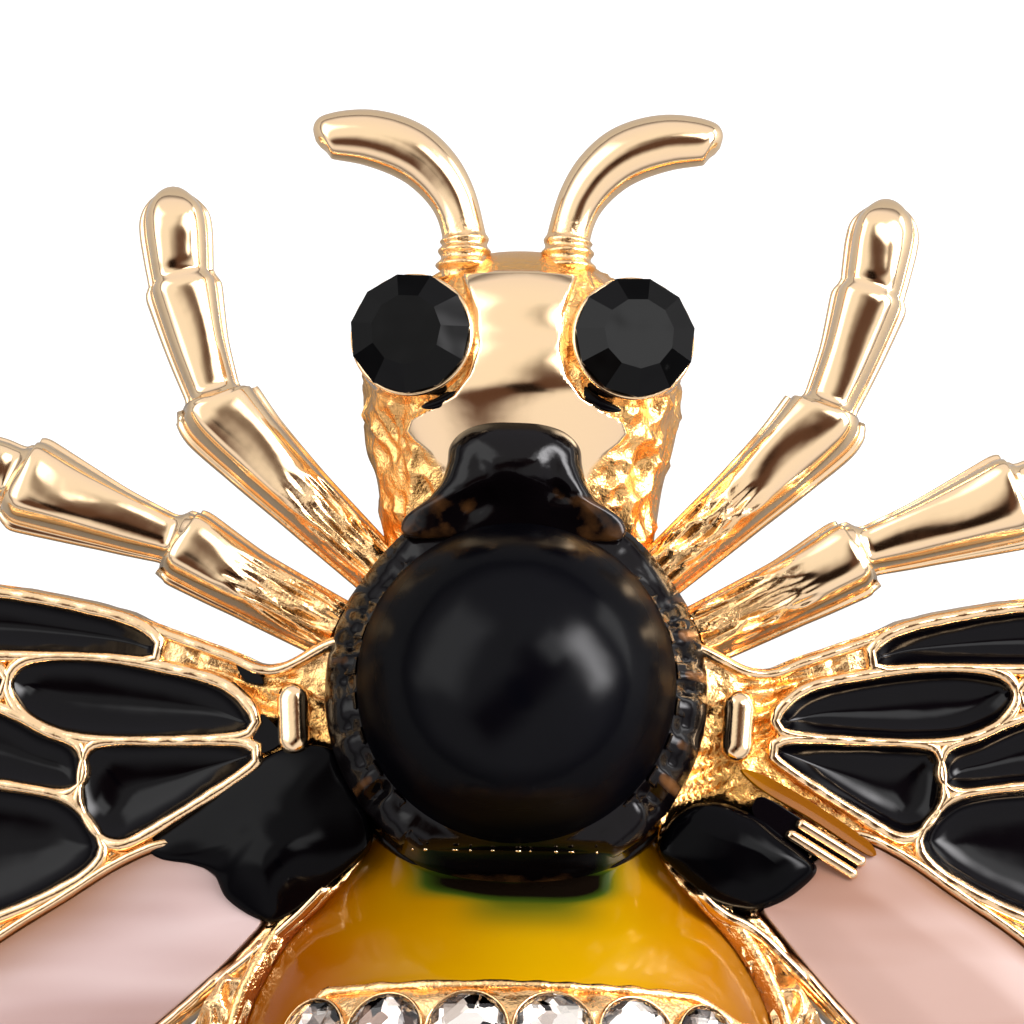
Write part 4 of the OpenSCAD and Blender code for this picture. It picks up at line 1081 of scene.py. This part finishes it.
def flood():
    """Black enamel that ran between the bead and the claws: a shelf that meets the bead in a hollow curve and rolls
    over at its outer edge, whose radius follows the table. At the sides it is thin over the claws, so they show
    as ribs. The second result says how bare the ribs are."""
    a = circle(CLAWS * 14)
    edge = np.interp(np.degrees(a), *spline(FLOOD, 8).T)[None]
    edge = np.where(np.sin(a) < -0.7, np.minimum(edge, low_radius(a)), edge)
    s = np.linspace(0, 1, 26)[:, None]
    r = 3.97 + (edge - 3.97) * s
    # Claws are unevenly bent and wide, and the gaps between them unevenly deep
    claw = (0.5 + 0.5 * np.cos(CLAWS * a - np.pi + 0.7 * np.sin(5 * a) + 0.4 * np.sin(13 * a)))[None]
    deep = (0.6 + 0.25 * np.sin(7 * a) + 0.15 * np.sin(17 * a))[None]
    free = step(np.abs(np.cos(a))[None], 0.55, 0.85)
    rib = free * step(s, 0.0, 0.35)
    z = (5.86 + 0.34 * (1 - s) ** 3 + 0.10 * np.sin(s * np.pi) - 0.30 * s ** 4
         - rib * (0.46 * deep * (1 - claw) ** 1.6 + 0.30 * s ** 2))
    wall_r = np.concatenate([edge + 0.02, edge - 0.02, 0 * edge + 3.7])
    wall_z = np.concatenate([z[-1:] - 0.25, 0 * edge + 4.55, 0 * edge + 4.55])
    worn = 0.36 + 0.24 * (np.cos(a) > 0)
    bare = np.concatenate([rib * claw ** 3 * deep * worn * step(s, 0.15, 0.5), np.zeros((3, len(a)))])
    return tube(np.concatenate([polar(r, a, z), polar(wall_r, a, wall_z)])), bare.reshape(-1)


foot_profile = [[4.0, STAND_H], [CUP_R - 0.05, STAND_H], [CUP_R, STAND_H + 0.1], [CUP_R, FOOT_TOP - 0.15],
                [CUP_R - 0.03, FOOT_TOP], [CUP_R - 0.12, FOOT_TOP + 0.05], [4.3, FOOT_TOP + 0.02]]
foot_bare = np.tile(0.12 + 0.9 * step(np.abs(np.cos(circle(160))), 0.75, 0.92), len(foot_profile))
piece("claw_foot", [tube(turned_profile(foot_profile, 160))], claw_finish, "gilt_alloy", grain=[foot_bare], sharp=60)
wall, bare = claw_wall()
piece("claws", [wall], claw_finish, "gilt_alloy", grain=[bare], sharp=60)
flooded, bare = flood()
piece("claw_flood", [flooded], claw_finish, "black_enamel", grain=[bare])
# Worn tips of the claws glint along the straight edge: small beads of gold, each stretched a little differently
TIPS_X, TIPS_Z = (-2.52, -2.20, -1.46, -1.08, -0.52, 0.12, 0.42, 1.06, 1.44, 2.08), 5.80
ball = turned_profile([[0.012, -0.09], [0.07, -0.06], [0.10, 0.0], [0.07, 0.06], [0.012, 0.09]], 16)
tips = [tube(ball * [0.40 + 0.25 * (k % 3), 0.34 + 0.12 * (k % 2), 0.7] + [x, -LOW_EDGE - 0.02, TIPS_Z])
        for k, x in enumerate(TIPS_X)]
piece("claw_tips", tips, gold, "gilt_alloy", grain=0.0)

# %% Neck cap
# Half of the hood's outline in mm from its middle line, from its front under the face plate's edge to the bead
NECK = [[0.0, 6.84], [0.72, 6.78], [1.30, 6.52], [1.64, 6.08], [1.70, 5.62], [1.84, 5.16], [2.16, 4.72], [2.76, 4.22],
        [2.66, 3.78], [1.50, 3.72], [0.0, 3.80]]
# Dents: place, half width, half length and depth
PITS = [(-1.04, 5.40, 0.30, 0.34, 0.09), (0.84, 5.44, 0.34, 0.38, 0.11), (-1.10, 4.56, 0.46, 0.26, 0.20),
        (0.98, 4.80, 0.50, 0.34, 0.24)]
NECK_X, NECK_Z, CAP_H = -0.14, CLAW_TOP_Z - 0.22, 1.34


def hood():
    """Rings shrink towards the hood's middle while the height follows an oval, lower over the flanks; each pit is a
    dent depth * exp(-((x / width)^2 + (y / length)^2)). The second result is how thin the enamel lies on the flanks,
    and in the dents a painted brown glint."""
    half = np.array(NECK)
    outline = closed_curve(np.concatenate([half, half[-2:0:-1] * [-1, 1]]) + [NECK_X, 0], 200, steps=12)
    middle = np.array([NECK_X, 5.2])
    a = np.linspace(0.0, np.pi / 2 * 0.99, 80)
    flat = middle + (outline[None] - middle) * np.cos(a)[:, None, None]
    x, y = flat[..., 0] - NECK_X, flat[..., 1]
    back = step(y, 3.9, 5.6)
    h = CAP_H * (0.26 + 0.74 * back) * np.sin(a)[:, None] ** 0.8 + 0.04 * ripple(flat, 1.3, 81) * step(5.6 - y, 0, 0.8)
    bent = 0.06 * ripple(flat, 1.2, 82)
    pit = 0
    for px, py, wide, long, depth in PITS:
        dent = bell(flat[..., 0] + bent, px, wide) * bell(y + bent, py, long)
        h = h - depth * dent
        pit = pit + dent
    # In the dents the brown is painted glint; on the flanks it is thin enamel over gold
    thin = np.clip(0.25 * step(5.3 - y, 0.0, 0.9) * step(np.abs(x), 0.5, 1.9) + 0.16 * np.minimum(pit, 1), 0, 1)
    wall = np.concatenate([flat, (NECK_Z + h)[..., None]], -1)
    foot = np.insert(outline, 2, STAND_H + 2.0, axis=1)[None]
    return tube(np.concatenate([foot, wall])), np.concatenate([thin[:1], thin]).reshape(-1)


hood_grid, hood_thin_and_glint = hood()
piece("neck_hood", [hood_grid], claw_finish, "black_enamel", ["neck_cap"], grain=[hood_thin_and_glint])

# %% [markdown]
# ## Abdomen
# The abdomen is one swept dome. Enamel bands lie in wide grooves, a round gold wire runs along each groove's edge,
# and rows of crystals sit in the metal between. The dome, its bands and its wires share one function, so they fit.

# %% Dome
# Share of the abdomen's length, and there the shares of its width and height
ABDOMEN = [[0.00, 0.56, 0.20], [0.08, 0.73, 0.28], [0.15, 0.89, 0.55], [0.24, 1.01, 0.84], [0.32, 1.035, 0.96],
           [0.42, 1.015, 1.00], [0.54, 0.96, 0.98], [0.66, 0.86, 0.88], [0.78, 0.70, 0.70], [0.88, 0.50, 0.48],
           [0.96, 0.28, 0.26], [1.00, 0.10, 0.12]]
# Shares of the length at which each band starts and ends, and the depth of their grooves
BANDS, GROOVE = [(0.0, 0.232), (0.375, 0.500), (0.630, 0.745), (0.868, 0.965)], 0.45
AB_Y, AB_L, AB_W, AB_H, AB_FULL, EDGE_H = -CUP_R * 0.69, 19.2, 13.4, 5.6, 1.35, 0.8
ab_rows = spline(ABDOMEN, 12)


def on_dome(u, t, sunk=0.0):
    """Point of the dome at share u of its length and turn t: half an oval whose height is sin(t) ^ 1.35."""
    w = np.interp(u, ab_rows[:, 0], ab_rows[:, 1]) * AB_W / 2 - sunk
    h = np.interp(u, ab_rows[:, 0], ab_rows[:, 2]) * AB_H - sunk
    x, z = -w * np.cos(t), STAND_H + h * np.maximum(np.sin(t), 0) ** AB_FULL
    return np.stack(np.broadcast_arrays(x, AB_Y - u * AB_L, z), -1)


def first_edge(t):
    """The yellow band's lower edge: straight over the crystals, and lower beside them, most on the left."""
    low = np.where(np.cos(t) > 0, 0.085, 0.030)
    return BANDS[0][1] + low * step(np.abs(np.cos(t)), 0.66, 0.84)


def straight(share):
    """An edge that runs square across the abdomen at this share of its length."""
    return lambda t: np.full_like(t, share)


band_starts = [straight(start) for start, _ in BANDS]
band_ends = [first_edge, *[straight(end) for _, end in BANDS[1:]]]


def dome():
    """The whole dome as arches; its surface sinks by the enamel's thickness inside each band."""
    u = np.linspace(0.012, 1, 320)[:, None]
    t = np.linspace(0, np.pi, 112)[None]
    sunk = 0
    for start, end in zip(band_starts, band_ends):
        a, b = start(t), end(t)
        sunk = sunk + step(u, a - 0.002, a + 0.002) * (1 - step(u, b - 0.002, b + 0.002))
    points = on_dome(u, t, sunk * GROOVE)
    rough = 0.05 * ripple(points, 0.8, 71) + 0.12 * creases(points, 1.1, 72) * step(np.abs(np.cos(t)), 0.6, 0.8)
    points[..., 2] += rough * (sunk * GROOVE < 0.2) * np.sin(t)
    return tube(points)


def dome_flange():
    """Flat edge round the dome's foot with a rounded, grainy rim."""
    u = np.linspace(0.012, 1, 120)
    side = on_dome(u, 0.0)[:, :2]
    outline = evened(np.concatenate([side, side[::-1] * [-1, 1]]), 300, closed=True)
    away = outer_side(outline)
    steps = np.array([[-0.25, 0.0], [0.22, 0.0], [0.30, 0.12], [0.31, EDGE_H - 0.12], [0.26, EDGE_H + 0.06],
                      [0.15, EDGE_H + 0.14], [0.02, EDGE_H + 0.10], [-0.08, EDGE_H - 0.05], [-0.25, EDGE_H - 0.1]])
    rise = 0.04 * ripple(outline, 0.5, 73) - 0.9 * step(outline[:, 1], AB_Y - 1.40, AB_Y - 0.70)
    flat = outline[None] + away[None] * steps[:, 0, None, None]
    z = STAND_H + steps[:, 1, None] + rise[None] * (steps[:, 1, None] > 0.4)
    return loop(np.concatenate([flat, z[..., None]], -1).transpose(1, 0, 2))


WIRE_R, WIRE_LIFT = 0.14, 0.03


def dome_wire(edge):
    """Round wire over the dome along an edge given as share of the length for each turn, from foot to foot."""
    t = np.linspace(0.10, np.pi - 0.10, 160)
    path = on_dome(edge(t), t, -WIRE_LIFT)
    ahead = unit(np.gradient(path, axis=0))
    beside = unit(np.cross(ahead, on_dome(edge(t), t, -1.0) - path))[:, None]
    square = np.cross(beside, ahead[:, None])
    a = circle(14)[None, :, None]
    r = WIRE_R * (1 + 0.16 * ripple(path, 0.6, 74))[:, None, None]
    return tube(path[:, None] + r * (np.cos(a) * beside + np.sin(a) * square))


def web():
    """Creased metal between the abdomen's edge and the hind wing's root, up to 1.9 mm wide."""
    rows, cols = 60, 24
    inner = on_dome(np.linspace(0.05, 0.33, rows), 0.0)[:, :2] * [-1, 1]
    reach = 1.9 * np.sin(np.pi * np.linspace(0.12, 1.0, rows)) ** 0.6
    s = np.linspace(-0.25, 1, cols)[None, :, None]
    flat = inner[:, None] + np.array([0.80, -0.60]) * reach[:, None, None] * s
    h = 0.62 + 0.20 * creases(flat * [1, 0.6], 0.9, 75)
    return slab(np.concatenate([flat, (STAND_H + h)[..., None]], -1),
                np.concatenate([flat, np.full((rows, cols, 1), STAND_H)], -1))


# The first band starts under the bead's cup, so it has no wire there
edges = [edge for pair in zip(band_starts, band_ends) for edge in pair][1:]
wires = [dome_wire(edge) for edge in edges]
piece("abdomen_dome", [dome(), dome_flange(), *wires], gold, "gilt_alloy", ["casting"],
      grain=[0.6, 0.65, *[0.6] * len(wires)])
both("abdomen_web", [web()], gold, "gilt_alloy", grain=0.5)

# %% Enamel bands
def foot_share(t):
    """Share of the length where the dome at turn t meets the cup's foot, by repeated substitution."""
    u = np.full_like(t, 0.03)
    for _ in range(12):
        w = np.interp(u, ab_rows[:, 0], ab_rows[:, 1]) * AB_W / 2
        u = np.maximum(0, (AB_Y + np.sqrt(np.maximum((CUP_R + 0.02) ** 2 - (w * np.cos(t)) ** 2, 0))) / AB_L)
    return u


def band_face(start, end, first):
    """Enamel shell: a sheet over the dome with its edges drawn down to the wires, above one sunk by 0.47. The first
    band starts at the cup's foot, and there it is painted green, then black along the cup, as painted reflection of the
    black cup, with one blot of stain from black enamel in the left corner. The second result is that painted
    reflection and stain."""
    t = np.linspace(math.radians(9), math.pi - math.radians(9), 90)[None]
    start = foot_share(t) if first else start(t) + 0.004
    u = start + (end(t) - 0.004 - start) * eased(38)[:, None]
    t = np.broadcast_to(t, u.shape)
    along = np.minimum(9 if first else u - start, end(t) - u) * AB_L
    edge = np.maximum(np.minimum(along, (np.sin(t) - math.sin(math.radians(8.5))) * 6), 0)
    points = on_dome(u, t, 0.04 + 0.10 * np.exp(-edge / 0.25) - 0.06 * np.exp(-edge / 0.05))
    x, y = points[..., 0], points[..., 1]
    gap = -4.98 - y
    # Painted reflection of the black cup: green where it is faint, then black right along the cup
    green = 0.85 * bell(x, 0.45, 1.65, 4) * (1 - step(gap, 0.3, 1.6))
    black = 1.70 * bell(x, 0.05, 2.5, 6) * (1 - step(gap, -0.25, 0.40))
    reflection_and_stain = np.maximum(green + black, 0.8 * bell(x, -4.05, 0.45) * bell(y, -4.0, 0.5)) * first
    return slab(points, on_dome(u, t, 0.47)), np.concatenate([reflection_and_stain, reflection_and_stain[:, ::-1]], 1).reshape(-1)


for number, (start, end) in enumerate(zip(band_starts, band_ends), 1):
    yellow = number in (1, 3)
    made, reflection_and_stain = band_face(start, end, number == 1)
    piece(f"abdomen_band_{number}", [made], yellow_enamel if yellow else black_enamel,
          "yellow_enamel" if yellow else "black_enamel", [f"abdomen_enamel_{number}"], grain=[reflection_and_stain])

# %% [markdown]
# ## Crystals
# The clear stones are brilliants over foil, set shoulder to shoulder. Each stone's place is walked along the dome's
# arch, so that neighbours stay one pitch apart on the curve.

# %% Crystals
# Width and pitch of the stones in mm, each row's share of the abdomen's length and its number of stones
CRYSTAL_D, PITCH, ROW_SHARES, ROW_COUNTS = 2.0, 2.14, (0.303, 0.565, 0.806), (6, 5, 3)


def seat(row, k):
    """Centre and three axes of stone k: the turn at which the arch's length from the top is its share of pitches."""
    u = ROW_SHARES[row]
    t = np.linspace(np.pi / 2, np.pi, 400)
    s = (k - (ROW_COUNTS[row] - 1) / 2) * PITCH
    turn = np.interp(abs(s), run_along(on_dome(np.full(400, u), t)), t)
    turn = turn if s >= 0 else np.pi - turn
    across = unit(on_dome(u, turn + 0.02) - on_dome(u, turn - 0.02))
    along = unit(on_dome(u - 0.01, turn) - on_dome(u + 0.01, turn))
    square = np.cross(across, along)
    # Stones stand 0.12 mm proud, and those of the first row sit a little nearer to the yellow band
    centre = on_dome(u, turn) + square * 0.12 + along * 0.10 * (row == 0)
    return centre, np.stack([across, np.cross(square, across), square])


def facet_stone(d, crown=0.17, table=0.29, depth=0.36, n=8):
    """Cut stone as separate flat facets: 8 wide crown facets between table and girdle, 8 pairs of small ones
    between them, a narrow girdle and 16 facets to the point. Each of six rings has 8 points."""
    rings = [(table, crown, 1), (0.425, crown * 0.62, 0), (0.5, 0.02, 0), (0.497, 0.02, 1), (0.5, -0.02, 0),
             (0.497, -0.02, 1)]
    a = 2 * np.pi * np.arange(n) / n
    points = np.concatenate([*[polar(d * r, a + half * np.pi / n, d * z) for r, z, half in rings],
                             [[0, 0, -d * depth], [0, 0, d * crown]]])
    top, mid, g0, g1, h0, h1 = (k * n + np.arange(n) for k in range(6))
    next_top, next_mid, next_g, next_h = (np.roll(k, -1) for k in (top, mid, g0, h0))
    tip, centre = np.full(n, 6 * n), np.full(n, 6 * n + 1)
    quads = [(g0, h0, h1, g1), (g1, h1, next_h, next_g)]
    tris = [(centre, top, next_top), (top, next_mid, next_top), (top, mid, g1), (mid, g0, g1), (top, g1, next_mid),
            (next_mid, g1, next_g), (h0, tip, h1), (h1, tip, next_h)]
    return points, np.concatenate([np.stack(q, 1) for q in quads]), np.concatenate([np.stack(t, 1) for t in tris])


def foil_cup(d, facets=16):
    """Silvered pavilion under the glass: flat mirror facets that fall to a point, in two tiers turned by half a
    facet. The first three rings are its mirror side and the last three its back."""
    k = np.arange(facets)
    between = math.cos(np.pi / facets)
    rings = [(0.48, -0.03, 0), (0.30, -0.20, 1), (0.03, -0.37, 0),
             (0.03, -0.385, 0), (0.32, -0.215, 1), (0.50, -0.045, 0)]
    return tube(np.stack([polar(d * r * np.where(k % 2 == even, 1.0, between), 2 * np.pi * k / facets, d * z)
                          for r, z, even in rings]))


bezels, foils = [], []
stone, cup = facet_stone(CRYSTAL_D), foil_cup(CRYSTAL_D)
bezel_profile = spline([[0.60, -0.62], [1.00, -0.45], [1.07, -0.15], [1.09, 0.0], [1.06, 0.07], [1.02, 0.05],
                        [1.005, -0.05], [0.98, -0.30]], 3)
for row, count in enumerate(ROW_COUNTS):
    for k in range(count):
        centre, axes = seat(row, k)
        piece(f"crystal_face_{row + 1}_{k + 1}", [(stone[0] @ axes + centre, *stone[1:])], crystal_glass,
              "clear_crystal", [f"crystal_{row + 1}_{k + 1}"], sharp=4)
        bezels.append(tube(turned_profile(bezel_profile, 40) @ axes + centre))
        foils.append((cup[0] @ axes + centre - axes[2] * 0.005, *cup[1:]))
piece("crystal_bezels", bezels, gold, "gilt_alloy", grain=0.4)
piece("crystal_foils", foils, foil, "clear_crystal", sharp=4)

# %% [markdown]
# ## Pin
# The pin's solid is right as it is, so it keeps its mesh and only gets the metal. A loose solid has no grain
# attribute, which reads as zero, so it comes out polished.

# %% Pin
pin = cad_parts["pin_fastening"]
pin.data.materials.clear()
pin.data.materials.append(gold)
